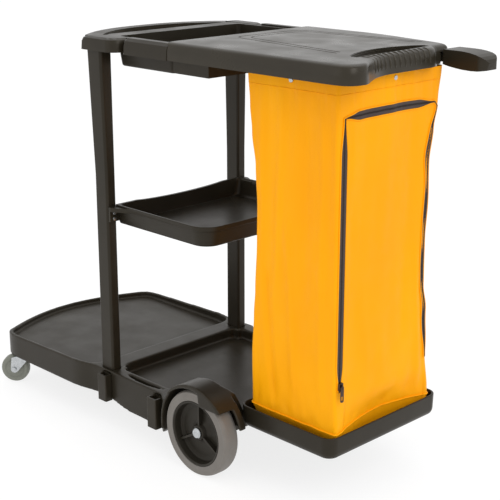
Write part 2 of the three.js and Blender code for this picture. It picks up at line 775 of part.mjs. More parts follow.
node("bag_platform", bagPlatform(), plastic(CHARCOAL));
PLATFORM_SCREW_Y.forEach((y, i) => {
  const screw = screwX(PLATFORM_X0 + 6 + GAP + 3, 26);
  node(`platform_screw_${i + 1}`, screw, metal(ZINC)).position.set(0, y, PLATFORM_SCREW_Z);
});

// ---- bag ----
// Each level: z, X of the face towards the uprights, half width on the near and the far side.
const BAG_LEVELS = [
  [BAG_BOTTOM, 442, 150, 156],
  [175, 441, 160, 166],
  [300, 449, 170, 150],
  [500, 464, 171, 137],
  [680, 466, 171, 139],
  [830, 448, 173, 158],
  [BAG_TOP, 438, 174, 168],
];
const BAG_CORNERS = [12, 6, 22, 14];

function bagShell(inset, z0, z1) {
  const corners = BAG_CORNERS.map((r) => r - inset);
  const levels = BAG_LEVELS.map(([z, x0, near, far]) => ({
    z: z === BAG_BOTTOM ? z0 : z === BAG_TOP ? z1 : z,
    points: ring(filleted(x0 + inset, BAG_END_X - inset, inset - near, far - inset, corners), 3),
  }));
  return loft(levels);
}

function bag() {
  const shell = cut(
    bagShell(0, BAG_BOTTOM, BAG_TOP),
    bagShell(BAG_WALL, BAG_BOTTOM + BAG_WALL, BAG_TOP + 10),
  );
  const rivetHoles = [
    rodX(RIVET_R + GAP, 680, 710, 0, RIVET_Z),
    rodX(RIVET_R + GAP, 425, 455, 0, RIVET_Z),
    rodY(RIVET_R + GAP, -180, 180, RIVET_SIDE_X, RIVET_Z, 8),
  ];
  return cut(shell, ...rivetHoles);
}

node("bag", bag(), rubber(BAG_YELLOW));

// Domed rivet along +Z, its head's inner face at z = 0.
function rivet() {
  const profile = [[0, -2.2], [RIVET_R, -2.2], [RIVET_R, 0], [6, 0], [5, 1.8], [0, 2.7]];
  return turnedZ(profile, 8);
}

const quarterTurn = Math.PI / 2;
const rivets = [
  ["end", [BAG_END_X + GAP, 0], [0, quarterTurn, 0]],
  ["inner", [438 - GAP, 0], [0, -quarterTurn, 0]],
  ["near", [RIVET_SIDE_X, -174 - GAP], [quarterTurn, 0, 0]],
  ["far", [RIVET_SIDE_X, 168 + GAP], [-quarterTurn, 0, 0]],
];
for (const [name, [x, y], turn] of rivets) {
  const placed = node(`bag_rivet_${name}`, rivet(), metal(ZINC));
  placed.position.set(x, y, RIVET_Z);
  placed.rotation.set(...turn);
}

// ---- zipper ----
function zipperTape() {
  const near = ZIP_NEAR_Y;
  const far = ZIP_FAR_Y;
  const w = ZIP_WIDTH;
  const outline = polygon(
    [near, ZIP_BOTTOM],
    [near, ZIP_TOP],
    [far, ZIP_TOP],
    [far, ZIP_BOTTOM],
    [far - w, ZIP_BOTTOM],
    [far - w, ZIP_TOP - w],
    [near + w, ZIP_TOP - w],
    [near + w, ZIP_BOTTOM],
  );
  return prismX(outline, ZIP_FACE_X, ZIP_FACE_X + TAPE_THICK);
}

// Slider with its pull tab hanging from it.
function zipperSlider() {
  const body = prismX(roundedRect(-6, 6, -9, 9, 3), 0, 5, 2);
  const bridge = box(4, 9, -1.5, 1.5, -5, 6);
  const tab = prismX(roundedRect(-4.5, 4.5, -34, 2, 3), 6, 8.4, 2);
  return join(body, bridge, cut(tab, box(5, 10, -2.5, 2.5, -30, -20)));
}

node("zipper_tape", zipperTape(), rubber(ZIP_BROWN));
const slider = node("zipper_slider", zipperSlider(), metal(ZIP_BROWN));
slider.position.set(ZIP_FACE_X + TAPE_THICK + GAP, ZIP_NEAR_Y + ZIP_WIDTH / 2, ZIP_BOTTOM + 14);

// ---- rear axle and wheels ----
node("rear_axle", rodY(AXLE_R, -AXLE_END_Y, AXLE_END_Y, WHEEL_X, WHEEL_R, 16), metal(ZINC));

function rearTyre() {
  const [a, b] = [WHEEL_INNER_Y, WHEEL_OUTER_Y];
  const profile = [
    [TYRE_INNER_R, a],
    [WHEEL_R - 6, a],
    [WHEEL_R, a + 8],
    [WHEEL_R, b - 8],
    [WHEEL_R - 6, b],
    [TYRE_INNER_R, b],
    [TYRE_INNER_R, a],
  ];
  return turnedY(profile, 32);
}

// Deep dish with a thin web, a centre boss and three ribs on its outer side.
function rearHub() {
  const rim = TYRE_INNER_R - 2 * GAP;
  const [a, b] = [WHEEL_INNER_Y + 1.5, WHEEL_OUTER_Y - 1.5];
  const web = HUB_WEB_Y;
  const profile = [
    [AXLE_R + GAP, a + 1],
    [BOSS_R, a + 1],
    [BOSS_R, web],
    [rim - 6, web],
    [rim - 6, a],
    [rim, a],
    [rim, b],
    [rim - 5, b],
    [rim - 8, web + 6],
    [BOSS_R + 2, web + 6],
    [BOSS_R - 2, BOSS_OUTER_Y],
    [AXLE_R + GAP, BOSS_OUTER_Y],
    [AXLE_R + GAP, a + 1],
  ];
  const ribs = [0, 120, 240].map((degrees) =>
    box(-2.5, 2.5, web + 4, BOSS_OUTER_Y - 1, BOSS_R - 4, rim - 4).rotate([0, degrees, 0]),
  );
  return join(turnedY(profile, 24), ...ribs);
}

function axleWasher() {
  const [a, b] = [ARCH_INNER_Y + GAP, WHEEL_INNER_Y + 2.5 - GAP];
  const profile = [[AXLE_R + GAP, a], [15, a], [15, b], [AXLE_R + GAP, b], [AXLE_R + GAP, a]];
  return turnedY(profile, 16);
}

// Push-on cap that keeps the wheel on the axle's end.
function axleCap() {
  const a = BOSS_OUTER_Y + GAP;
  const bore = AXLE_R + GAP;
  const profile = [
    [bore, a],
    [13, a],
    [13, a + 3],
    [10.4, a + 6],
    [0, a + 8.1],
    [0, AXLE_END_Y + GAP],
    [bore, AXLE_END_Y + GAP],
    [bore, a],
  ];
  return turnedY(profile, 16);
}

for (const [side, sign] of SIDES) {
  const wheel = new THREE.Group();
  wheel.position.set(WHEEL_X, 0, WHEEL_R);
  cart.add(wheel);
  const place = (made) => (sign > 0 ? made : mirrored(made));
  node(`rear_tyre_${side}`, place(rearTyre()), rubber(TYRE_GREY), wheel);
  node(`rear_hub_${side}`, place(rearHub()), plastic(DARK_HUB), wheel);
  node(`axle_washer_${side}`, place(axleWasher()), metal(ZINC), wheel);
  node(`axle_cap_${side}`, place(axleCap()), metal(ZINC), wheel);
}

// ---- front casters ----
// In a caster's own group the swivel axis is Z, and the wheel trails towards -X.
function casterPlate() {
  const top = CASTER_PAD_Z - GAP;
  const profile = [
    [KINGPIN_R + GAP, top - 3.5],
    [CASTER_PLATE_R, top - 3.5],
    [CASTER_PLATE_R, top],
    [KINGPIN_R + GAP, top],
    [KINGPIN_R + GAP, top - 3.5],
  ];
  return turnedZ(profile, 16);
}

function casterRace() {
  const [a, b] = [CASTER_RACE_Z + GAP, CASTER_PAD_Z - 3.8 - GAP];
  const profile = [
    [KINGPIN_R + GAP, a],
    [16, a],
    [18.5, (a + b) / 2],
    [16, b],
    [KINGPIN_R + GAP, b],
    [KINGPIN_R + GAP, a],
  ];
  return turnedZ(profile, 16);
}

function casterFork() {
  const top = CASTER_RACE_Z;
  const inner = CASTER_WIDTH / 2 + 2;
  const leg = new THREE.Path();
  leg.moveTo(20, top);
  leg.lineTo(14, top - 18);
  leg.lineTo(-CASTER_TRAIL + 9, CASTER_R - 6);
  leg.absarc(-CASTER_TRAIL, CASTER_R, 10, -Math.PI / 3, -Math.PI, true);
  leg.lineTo(-CASTER_TRAIL - 6, top - 25);
  leg.lineTo(-19, top - 19);
  leg.lineTo(-19, top);
  const legs = both(prismY(leg, inner, inner + 3, 4));
  const crown = box(-20, 20, -inner - 3, inner + 3, top - 3, top);
  const bores = [
    rodZ(KINGPIN_R + GAP, 80, 110, 0, 0),
    rodY(KINGPIN_R + GAP, -40, 40, -CASTER_TRAIL, CASTER_R),
  ];
  const crownEdge = prismZ(roundedRect(-20, 20, -18, 18, 9), top - 3, top, 2);
  return cut(join(legs, crown.intersect(crownEdge)), ...bores);
}

function casterWheel() {
  const h = CASTER_WIDTH / 2;
  const profile = [
    [4 + GAP, -h],
    [12, -h],
    [14, -h + 3],
    [28, -h],
    [CASTER_R - 3, -h],
    [CASTER_R, -h + 4],
    [CASTER_R, h - 4],
    [CASTER_R - 3, h],
    [28, h],
    [14, h - 3],
    [12, h],
    [4 + GAP, h],
    [4 + GAP, -h],
  ];
  return turnedY(profile, 20);
}

function casterAxle() {
  const out = CASTER_WIDTH / 2 + 5 + GAP;
  const profile = [
    [0, -out - 4],
    [6.5, -out - 4],
    [6.5, -out],
    [4, -out],
    [4, out],
    [6.5, out],
    [6.5, out + 4],
    [0, out + 4],
  ];
  return turnedY(profile, 10);
}

// Rivet that holds plate, race and fork together; its head is under the fork's crown.
function casterKingpin() {
  const low = CASTER_RACE_Z - 3 - GAP;
  const top = CASTER_PAD_Z - 1;
  const profile = [[0, low - 3], [8, low - 3], [9, low], [KINGPIN_R, low], [KINGPIN_R, top], [0, top]];
  return turnedZ(profile, 12);
}

for (const [side, sign] of SIDES) {
  const caster = new THREE.Group();
  caster.position.set(CASTER_X, sign * CASTER_Y, 0);
  caster.rotation.z = CASTER_YAW;
  cart.add(caster);
  node(`caster_plate_${side}`, casterPlate(), metal(ZINC), caster);
  node(`caster_race_${side}`, casterRace(), metal(ZINC), caster);
  node(`caster_fork_${side}`, casterFork(), metal(ZINC), caster);
  node(`caster_kingpin_${side}`, casterKingpin(), metal(ZINC), caster);
  for (const [name, made, material] of [
    ["wheel", casterWheel(), rubber(CASTER_GREY)],
    ["axle", casterAxle(), metal(ZINC)],
  ]) {
    const placed = node(`caster_${name}_${side}`, made, material, caster);
    placed.position.set(-CASTER_TRAIL, 0, CASTER_R);
  }
}

const object = new THREE.Group();
object.add(cart);
export default object;
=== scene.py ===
import math

import bmesh
import bpy
import numpy as np
from mathutils import Matrix, Vector, noise


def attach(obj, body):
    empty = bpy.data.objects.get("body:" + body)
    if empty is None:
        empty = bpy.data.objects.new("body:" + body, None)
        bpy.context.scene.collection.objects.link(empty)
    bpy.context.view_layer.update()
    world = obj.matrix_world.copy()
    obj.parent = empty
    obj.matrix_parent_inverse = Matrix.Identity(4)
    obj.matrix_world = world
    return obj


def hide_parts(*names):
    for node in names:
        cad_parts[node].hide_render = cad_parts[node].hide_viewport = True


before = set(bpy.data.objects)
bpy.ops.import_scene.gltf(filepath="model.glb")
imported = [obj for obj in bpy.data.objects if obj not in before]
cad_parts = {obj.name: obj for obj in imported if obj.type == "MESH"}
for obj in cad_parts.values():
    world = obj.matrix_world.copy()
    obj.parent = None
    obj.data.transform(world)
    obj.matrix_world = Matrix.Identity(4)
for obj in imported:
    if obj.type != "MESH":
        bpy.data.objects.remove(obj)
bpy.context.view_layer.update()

# A cleaning cart. Shapes are written in millimetres, with X counted from the line of the two uprights.
LINE_X = -162.0
MM = 0.001


def row(x, y, z):
    return ((x + LINE_X) * MM, y * MM, z * MM)


# ---------------------------------------------------------------- materials


class Nodes:
    def __init__(self, name):
        self.material = bpy.data.materials.new(name)
        self.material.use_nodes = True
        self.tree = self.material.node_tree
        self.shader = self.tree.nodes["Principled BSDF"]
        self.where = self.tree.nodes.new("ShaderNodeTexCoord").outputs["Object"]

    def add(self, kind, **settings):
        made = self.tree.nodes.new("ShaderNode" + kind)
        for key, value in settings.items():
            if hasattr(made, key):
                setattr(made, key, value)
            else:
                made.inputs[key.replace("_", " ")].default_value = value
        return made

    def link(self, a, b):
        self.tree.links.new(a, b)

    def noise(self, scale, detail=3.0, roughness=0.5, stretch=None):
        made = self.add("TexNoise")
        made.inputs["Scale"].default_value = scale
        made.inputs["Detail"].default_value = detail
        made.inputs["Roughness"].default_value = roughness
        self.link(self.stretched(stretch), made.inputs["Vector"])
        return made.outputs["Fac"]

    def stretched(self, stretch):
        if stretch is None:
            return self.where
        mapping = self.add("Mapping")
        mapping.inputs["Scale"].default_value = stretch
        self.link(self.where, mapping.inputs["Vector"])
        return mapping.outputs["Vector"]

    def spread(self, value, low, high, to_low, to_high):
        made = self.add("MapRange")
        for key, number in zip(("From Min", "From Max", "To Min", "To Max"), (low, high, to_low, to_high)):
            made.inputs[key].default_value = number
        self.link(value, made.inputs["Value"])
        return made.outputs["Result"]

    def math(self, operation, a, b):
        made = self.add("Math", operation=operation)
        for socket, value in zip(made.inputs, (a, b)):
            if isinstance(value, (int, float)):
                socket.default_value = value
            else:
                self.link(value, socket)
        return made.outputs[0]

    def mix(self, factor, a, b):
        made = self.add("MixRGB")
        for socket, value in zip(made.inputs, (factor, a, b)):
            if isinstance(value, (int, float, tuple)):
                socket.default_value = value
            else:
                self.link(value, socket)
        return made.outputs["Color"]

    def bump(self, height, distance, strength=1.0, below=None):
        made = self.add("Bump")
        made.inputs["Strength"].default_value = strength
        made.inputs["Distance"].default_value = distance
        self.link(height, made.inputs["Height"])
        if below is not None:
            self.link(below, made.inputs["Normal"])
        return made.outputs["Normal"]


def srgb(r, g, b):
    def linear(v):
        v /= 255
        return v / 12.92 if v <= 0.04045 else ((v + 0.055) / 1.055) ** 2.4

    return (linear(r), linear(g), linear(b), 1.0)


def lighter(color, by):
    return tuple(min(1.0, c * by) for c in color[:3]) + (1.0,)


def moulded(name, color, rough, grain=0.00012, ior=1.45):
    """Moulded plastic: fine grain, uneven gloss, edges rubbed a little lighter, faint scuffs."""
    n = Nodes(name)
    tone = n.mix(n.spread(n.noise(9, 4), 0.35, 0.65, 0, 1), lighter(color, 0.9), lighter(color, 1.1))
    pointed = n.add("NewGeometry").outputs["Pointiness"]
    edges = n.spread(pointed, 0.515, 0.58, 0, 0.45)
    edges = n.math("MULTIPLY", edges, n.spread(n.noise(35, 4), 0.35, 0.7, 0.2, 1))
    tone = n.mix(edges, tone, lighter(color, 1.9))
    scuffs = n.spread(n.noise(60, 5, 0.65, (1, 6, 6)), 0.62, 0.8, 0, 0.3)
    n.link(n.mix(scuffs, tone, lighter(color, 1.5)), n.shader.inputs["Base Color"])
    gloss = n.spread(n.noise(14, 3), 0.3, 0.7, rough - 0.05, rough + 0.07)
    n.link(gloss, n.shader.inputs["Roughness"])
    cells = n.add("TexVoronoi", feature="SMOOTH_F1")
    cells.inputs["Scale"].default_value = 620
    n.link(n.where, cells.inputs["Vector"])
    n.link(n.bump(cells.outputs["Distance"], grain, 0.5), n.shader.inputs["Normal"])
    n.shader.inputs["IOR"].default_value = ior
    n.shader.inputs["Specular IOR Level"].default_value = 0.28
    n.shader.inputs["Specular Tint"].default_value = (1, 0.93, 0.84, 1)
    return n.material


def rubbery(name, color, rough):
    """Grey wheel rubber with dust and fine scratches."""
    n = Nodes(name)
    dust = n.spread(n.noise(22, 5, 0.6), 0.4, 0.75, 0, 0.5)
    n.link(n.mix(dust, lighter(color, 0.94), lighter(color, 1.18)), n.shader.inputs["Base Color"])
    n.link(n.spread(n.noise(40, 3), 0.3, 0.7, rough - 0.07, rough + 0.08), n.shader.inputs["Roughness"])
    n.link(n.bump(n.noise(900, 2), 0.0001, 0.5), n.shader.inputs["Normal"])
    return n.material


def plated(name, color, rough):
    """Bright zinc plating, slightly cloudy."""
    n = Nodes(name)
    cloud = n.noise(120, 4, 0.6)
    tone = n.mix(n.spread(cloud, 0.35, 0.65, 0, 1), lighter(color, 0.85), lighter(color, 1.1))
    n.link(tone, n.shader.inputs["Base Color"])
    n.link(n.spread(cloud, 0.3, 0.7, rough - 0.06, rough + 0.1), n.shader.inputs["Roughness"])
    n.link(n.bump(n.noise(1500, 2), 0.00003, 0.4), n.shader.inputs["Normal"])
    n.shader.inputs["Metallic"].default_value = 1.0
    return n.material


def weave(n, pitch):
    """Height of a plain weave: threads along Z crossed by threads along the other two axes."""
    scale = 0.314 / pitch
    threads = []
    for direction in ("X", "Y", "Z"):
        wave = n.add("TexWave", bands_direction=direction)
        wave.inputs["Scale"].default_value = scale
        wave.inputs["Distortion"].default_value = 0.6
        wave.inputs["Detail Scale"].default_value = 2.0
        n.link(n.where, wave.inputs["Vector"])
        threads.append(wave.outputs["Fac"])
    upright = n.math("MULTIPLY", threads[0], threads[1])
    return n.math("MAXIMUM", upright, threads[2])


def coated_cloth(name, color):
    """Coated bag fabric: visible weave, satin face, tone drifting over the cloth, painted shade darkening its
    folds.
    """
    n = Nodes(name)
    drift = n.spread(n.noise(5, 3, 0.5, (1, 1, 0.4)), 0.35, 0.65, 0, 1)
    r, g, b = color[:3]
    tone = n.mix(drift, (r * 0.97, g * 0.92, b, 1), (min(1, r * 1.02), g * 1.05, b, 1))
    pointed = n.add("NewGeometry").outputs["Pointiness"]
    # painted shade: the cloth is darkened where it curves inwards, in its folds
    hollow = n.spread(pointed, 0.492, 0.47, 0, 0.5)
    tone = n.mix(hollow, tone, (r * 0.85, g * 0.68, b * 0.6, 1))
    n.link(tone, n.shader.inputs["Base Color"])
    n.link(n.spread(n.noise(30, 3), 0.3, 0.7, 0.46, 0.6), n.shader.inputs["Roughness"])
    soft = n.bump(n.noise(38, 3, 0.5, (1, 1, 0.45)), 0.0012, 0.35)
    n.link(n.bump(weave(n, 0.0011), 0.00012, 0.5, soft), n.shader.inputs["Normal"])
    n.shader.inputs["Specular IOR Level"].default_value = 0.1
    return n.material


def tape_cloth(name, color):
    n = Nodes(name)
    n.link(n.mix(n.noise(90, 3), lighter(color, 0.8), lighter(color, 1.25)), n.shader.inputs["Base Color"])
    n.link(n.bump(weave(n, 0.0008), 0.00015, 0.7), n.shader.inputs["Normal"])
    n.shader.inputs["Roughness"].default_value = 0.75
    n.shader.inputs["Sheen Weight"].default_value = 0.15
    return n.material


FRAME = moulded("frame_plastic", srgb(36, 32, 24), 0.36)
LID = moulded("lid_plastic", srgb(40, 36, 28), 0.3, ior=1.5)
HUB = moulded("hub_plastic", srgb(36, 33, 27), 0.42)
TYRE = rubbery("tyre_rubber", srgb(112, 107, 101), 0.6)
CASTER = rubbery("caster_rubber", srgb(118, 120, 110), 0.5)
ZINC = plated("zinc", srgb(186, 189, 191), 0.26)
BAG = coated_cloth("bag_vinyl", srgb(250, 166, 4))
TAPE = tape_cloth("zipper_tape_cloth", srgb(52, 38, 34))
TEETH = moulded("zipper_teeth", srgb(40, 32, 30), 0.35, grain=0.00004)
PULL = plated("zipper_metal", srgb(84, 68, 60), 0.35)


# ---------------------------------------------------------------- mesh helpers


def mesh_object(name, points, faces, material=None):
    """points are rows of x, y, z in millimetres, in the cart's own frame."""
    mesh = bpy.data.meshes.new(name)
    mesh.from_pydata([row(*p) for p in points], [], faces)
    made = bmesh.new()
    made.from_mesh(mesh)
    bmesh.ops.remove_doubles(made, verts=made.verts, dist=1e-6)
    bmesh.ops.recalc_face_normals(made, faces=made.faces)
    made.to_mesh(mesh)
    made.free()
    obj = bpy.data.objects.new(name, mesh)
    bpy.context.scene.collection.objects.link(obj)
    if material is not None:
        mesh.materials.append(material)
    return obj


def smooth(obj, angle=35):
    obj.data.polygons.foreach_set("use_smooth", [True] * len(obj.data.polygons))
    obj.data.set_sharp_from_angle(angle=math.radians(angle))
    return obj


def bake(obj):
    """Applies the object's modifiers to its mesh."""
    graph = bpy.context.evaluated_depsgraph_get()
    graph.update()
    mesh = bpy.data.meshes.new_from_object(obj.evaluated_get(graph))
    old = obj.data
    obj.modifiers.clear()
    obj.data = mesh
    bpy.data.meshes.remove(old)
    return obj


def modify(obj, kind, **settings):
    made = obj.modifiers.new(kind.title(), kind)
    for key, value in settings.items():
        setattr(made, key, value)
    return obj


def rounded_edges(obj, width, segments=3, angle=30):
    limit = math.radians(angle)
    modify(obj, "BEVEL", width=width * MM, segments=segments, limit_method="ANGLE", angle_limit=limit)
    obj.modifiers[-1].harden_normals = False
    return obj


def remove(*objs):
    for o in objs:
        bpy.data.objects.remove(o)


def combine(operation, base, *others):
    for other in others:
        modify(base, "BOOLEAN", operation=operation, object=other, solver="EXACT")
        bake(base)
        remove(other)
    return base


def join(base, *others):
    """One object of several closed ones, left overlapping."""
    made = bmesh.new()
    for o in (base, *others):
        made.from_mesh(o.data)
    made.to_mesh(base.data)
    made.free()
    remove(*others)
    return base


def loft(name, rings, material=None, closed=False):
    """Faces through rings of equal count, capped at both ends or, if closed, joined last to first."""
    count = len(rings[0])
    points = [p for r in rings for p in r]
    faces = []
    last = len(rings) if closed else len(rings) - 1
    for k in range(last):
        a0, b0 = k * count, ((k + 1) % len(rings)) * count
        for i in range(count):
            j = (i + 1) % count
            faces.append((a0 + i, a0 + j, b0 + j, b0 + i))
    if not closed:
        faces.append(tuple(range(count))[::-1])
        faces.append(tuple(range((len(rings) - 1) * count, len(rings) * count)))
    return mesh_object(name, points, faces, material)


def prism(name, outline, z0, z1):
    return loft(name, [[(x, y, z) for x, y in outline] for z in (z0, z1)])


def prism_y(name, outline, y0, y1):
    return loft(name, [[(x, y, z) for x, z in outline] for y in (y0, y1)])


def prism_x(name, outline, x0, x1):
    return loft(name, [[(x, y, z) for y, z in outline] for x in (x0, x1)])


def block(x0, x1, y0, y1, z0, z1):
    return prism("block", [(x0, y0), (x1, y0), (x1, y1), (x0, y1)], z0, z1)


def circle(x, y, r, count=96):
    angles = [2 * math.pi * i / count for i in range(count)]
    return [(x + r * math.cos(a), y + r * math.sin(a)) for a in angles]


def rounded_rect(x0, x1, y0, y1, radii, steps=10):
    """Counter-clockwise; radii of the corners (x1, y0), (x1, y1), (x0, y1), (x0, y0), or one for all."""
    if isinstance(radii, (int, float)):
        radii = [radii] * 4
    corners = [(x1, y0, -1, 1, -90), (x1, y1, -1, -1, 0), (x0, y1, 1, -1, 90), (x0, y0, 1, 1, 180)]
    points = []
    for (x, y, sx, sy, start), r in zip(corners, radii):
        for i in range(steps + 1):
            a = math.radians(start + 90 * i / steps)
            points.append((x + sx * r + r * math.cos(a), y + sy * r + r * math.sin(a)))
    return points


def filleted(profile, steps=5):
    """A polyline of (a, b, radius) with its inner corners rounded."""
    points = [profile[0][:2]]
    for before, at, after in zip(profile, profile[1:], profile[2:]):
        p = np.array(at[:2], float)
        to_a, to_b = np.array(before[:2]) - p, np.array(after[:2]) - p
        la, lb = np.linalg.norm(to_a), np.linalg.norm(to_b)
        r = min(at[2] if len(at) > 2 else 0, 0.49 * la, 0.49 * lb)
        if r <= 0:
            points.append(tuple(p))
            continue
        a, b = p + to_a / la * r, p + to_b / lb * r
        for i in range(steps + 1):
            t = i / steps
            points.append(tuple((1 - t) ** 2 * a + 2 * t * (1 - t) * p + t * t * b))
    points.append(profile[-1][:2])
    return points


def bezier(p0, p1, p2, p3, steps):
    """Points after p0."""
    made = []
    for i in range(1, steps + 1):
        t = i / steps
        made.append(
            tuple(
                (1 - t) ** 3 * a + 3 * (1 - t) ** 2 * t * b + 3 * (1 - t) * t * t * c + t**3 * d
                for a, b, c, d in zip(p0, p1, p2, p3)
            )
        )
    return made


def lathe(name, profile, centre, material=None, segments=96):
    """Turned about a line along Y through centre (x, z); the profile is a closed loop of (radius, y)."""
    rings = []
    for k in range(segments):
        a = 2 * math.pi * k / segments
        rings.append([(centre[0] + r * math.cos(a), y, centre[1] + r * math.sin(a)) for r, y in profile])
    return loft(name, rings, material, closed=True)


def tube(name, path, radius, material=None, sides=8, closed=False):
    """A round bar along path; its radius may vary along it."""
    points = [Vector(p) for p in path]
    count = len(points)
    turn = 2 * math.pi
    rings = []
    up = Vector((0, 0, 1))
    for i, p in enumerate(points):
        ahead = points[(i + 1) % count] if closed or i + 1 < count else p
        behind = points[i - 1] if closed or i > 0 else p
        along = (ahead - behind).normalized()
        if abs(along.dot(up)) > 0.95:
            up = Vector((1, 0, 0))
        side = along.cross(up).normalized()
        up = side.cross(along).normalized()
        r = radius(i / max(1, count - 1)) if callable(radius) else radius
        rings.append(
            [
                tuple(p + side * (r * math.cos(turn * k / sides)) + up * (r * math.sin(turn * k / sides)))
                for k in range(sides)
            ]
        )
    return loft(name, rings, material, closed=closed)


def ease(a, b, v):
    t = min(1.0, max(0.0, (v - a) / (b - a)))
    return t * t * (3 - 2 * t)


def mixed(levels, z):
    """Values at z, easing between rows of (z, value, ...)."""
    if z <= levels[0][0]:
        return levels[0][1:]
    for low, high in zip(levels, levels[1:]):
        if z <= high[0]:
            t = (z - low[0]) / (high[0] - low[0])
            t = t * t * (3 - 2 * t)
            return tuple(a + (b - a) * t for a, b in zip(low[1:], high[1:]))
    return levels[-1][1:]


def done(obj, body, stands_for=()):
    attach(obj, body)
    if stands_for:
        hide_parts(*stands_for)
    return obj


def both_sides(make):
    for side, sign in (("near", -1), ("far", 1)):
        make(side, sign)


# ---------------------------------------------------------------- CAD nodes that stay


def keep(node, material, width=0.8, segments=2):
    """Show the CAD's own shape for a node, with its edges rounded by width."""
    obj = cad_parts[node]
    obj.data.materials.clear()
    obj.data.materials.append(material)
    modify(obj, "WELD", merge_threshold=0.00002)
    if width:
        rounded_edges(obj, width, segments, 32)
    obj.data.polygons.foreach_set("use_smooth", [True] * len(obj.data.polygons))
    modify(obj, "WEIGHTED_NORMAL", keep_sharp=True)
    return obj


for cad_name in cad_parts:
    if "screw" in cad_name or "bolt" in cad_name or "rivet" in cad_name:
        keep(cad_name, ZINC, 0.3)
    elif cad_name.startswith("axle_") or cad_name in ("rear_axle", "lid_hinge_pin", "bag_hoop"):
        keep(cad_name, ZINC, 0.5)
    elif cad_name.startswith("caster_") and "wheel" not in cad_name:
        keep(cad_name, ZINC, 0.5)
    elif cad_name.startswith("upright_"):
        keep(cad_name, FRAME, 1.0)
    elif cad_name.startswith("tool_clip"):
        keep(cad_name, FRAME, 1.0)
    elif cad_name == "top_frame":
        keep(cad_name, FRAME, 2.2, 3)
    elif cad_name == "zipper_slider":
        keep(cad_name, PULL, 0.4)


# ---------------------------------------------------------------- trays


def tray(name, x0, x1, half, radius, profile, node, extras=(), square=False):
    """A moulded tray from a profile of (inset, z, fillet), up its outside, over the rim and down its inside.
    A square one keeps its side towards the uprights upright and its corners there tight."""
    rings = []
    rim = max(z for _, z, _ in profile)
    inside = False
    for inset, z in filleted(profile, 5):
        inside = inside or z > rim - 0.1
        r = max(5, radius - inset * 0.8)
        radii, start = [r] * 4, inset
        if square:
            start = inset if inset > 40 else (6.5 if inset > 5 else inset) if inside else 0
            radii = [r, r, 14 if inset > 5 and inside else 3, 14 if inset > 5 and inside else 3]
        outline = rounded_rect(x0 + start, x1 - inset, inset - half, half - inset, radii, 10)
        rings.append([(x, y, z) for x, y in outline])
    made = loft(name, rings, FRAME)
    for operation, extra in extras:
        combine(operation, made, extra)
    smooth(made, 40)
    return done(made, "cart", [node])


SHELF_EAR = [(27, 190), (27, 227), (37, 227), (80, 203), (80, 190)]


def shelf_ear(sign):
    plate = block(27, 33, *sorted((sign * 195, sign * 227)), 530, 566)
    gusset = prism("gusset", [(x, sign * max(y, 195)) for x, y in SHELF_EAR], 556, 566)
    return combine("UNION", plate, gusset)


dip = [(-150, 571)] + bezier((-150, 571), (-90, 562), (90, 562), (150, 571), 24)
tray(
    "shelf_tray", 27, 346, 207, 50,
    [
        (60, 520, 0), (12, 520, 7), (5, 558, 2), (1, 559, 1.2), (0, 569, 1.5), (1, 570, 1), (5.5, 570, 2),
        (10, 566, 3), (18.5, 524.5, 9), (70, 524.5, 0),
    ],
    "middle_shelf",
    [("UNION", shelf_ear(-1)), ("UNION", shelf_ear(1)), ("DIFFERENCE", prism_x("dip", dip, 20, 47))],
    square=True,
)
tray(
    "platform_tray", 426, 706, 187, 27,
    [
        (60, 126, 0), (6, 126, 6), (1, 136, 5), (0, 174.5, 2), (1, 176, 1.2), (4, 176, 1.4),
        (5.5, 173, 2), (7, 130.5, 6), (70, 130.5, 0),
    ],
    "bag_platform",
    [("UNION", block(426, 432, -125, 125, 110, 138))]
    + [
        ("UNION", prism_y("gusset", [(428, 110), (436, 110), (640, 128), (428, 128)], y - 2.5, y + 2.5))
        for y in (-120, -70, 0, 70, 120)
    ],
)


def top_tray():
    def rings(profile, wall):
        made = []
        for inset, z in profile:
            k = inset + wall
            outline = rounded_rect(36 + k, 233 - k, k - 194, 194 - k, max(5, 14 - k * 0.7), 8)
            made.append([(x, y, z) for x, y in outline])
        return made

    outside = filleted([(40, 899, 0), (6, 899, 6), (1.5, 930, 10), (0, 966, 0)], 5)
    inside = filleted([(40, 903, 0), (6, 903, 9), (1.5, 930, 10), (0, 970, 0)], 5)
    tub = loft("top_tray_tub", rings(outside, 0), FRAME)
    combine("UNION", tub, prism("flange", rounded_rect(-6, 234, -202, 202, 30), 964.4, 967.3))
    combine("DIFFERENCE", tub, loft("hollow", rings(inside, 4)))
    rounded_edges(tub, 0.9)
    smooth(tub, 40)
    return done(tub, "cart", ["top_tray"])


top_tray()


# ---------------------------------------------------------------- base deck

DECK_HALF, WAIST_HALF, DECK_TIP, DECK_REAR = 252, 238, -488, 425
WHEEL = (361, 101.6)


def deck_outline(inset):
    steps = 18
    w, waist, rear, tip = DECK_HALF - inset, WAIST_HALF - inset, DECK_REAR - inset, DECK_TIP + inset
    corner = (tip + 56, w - 38)
    half = [(tip, 0)]
    half += bezier((tip, 0), (tip, corner[1] / 3), (tip + 20.7, corner[1] * 2 / 3), corner, steps)
    half += bezier(corner, (corner[0] + 8, w - 10), (-400, w), (-350, w), steps)
    half += [(-230, w), (-120, w)]
    half += bezier((-120, w), (-65, w), (-55, waist), (0, waist), steps)
    half += [(236, waist), (rear, waist)]
    return half + [(x, -y) for x, y in half[:0:-1]]


def deck_side():
    lower = [(-510, 79), (0, 79)] + bezier((0, 79), (40, 79), (55, 67), (100, 64), 8) + [(236, 60)]
    return lower + [(256, 80), (300, 108), (440, 108), (440, 150), (-60, 150), (-510, 137.7)]


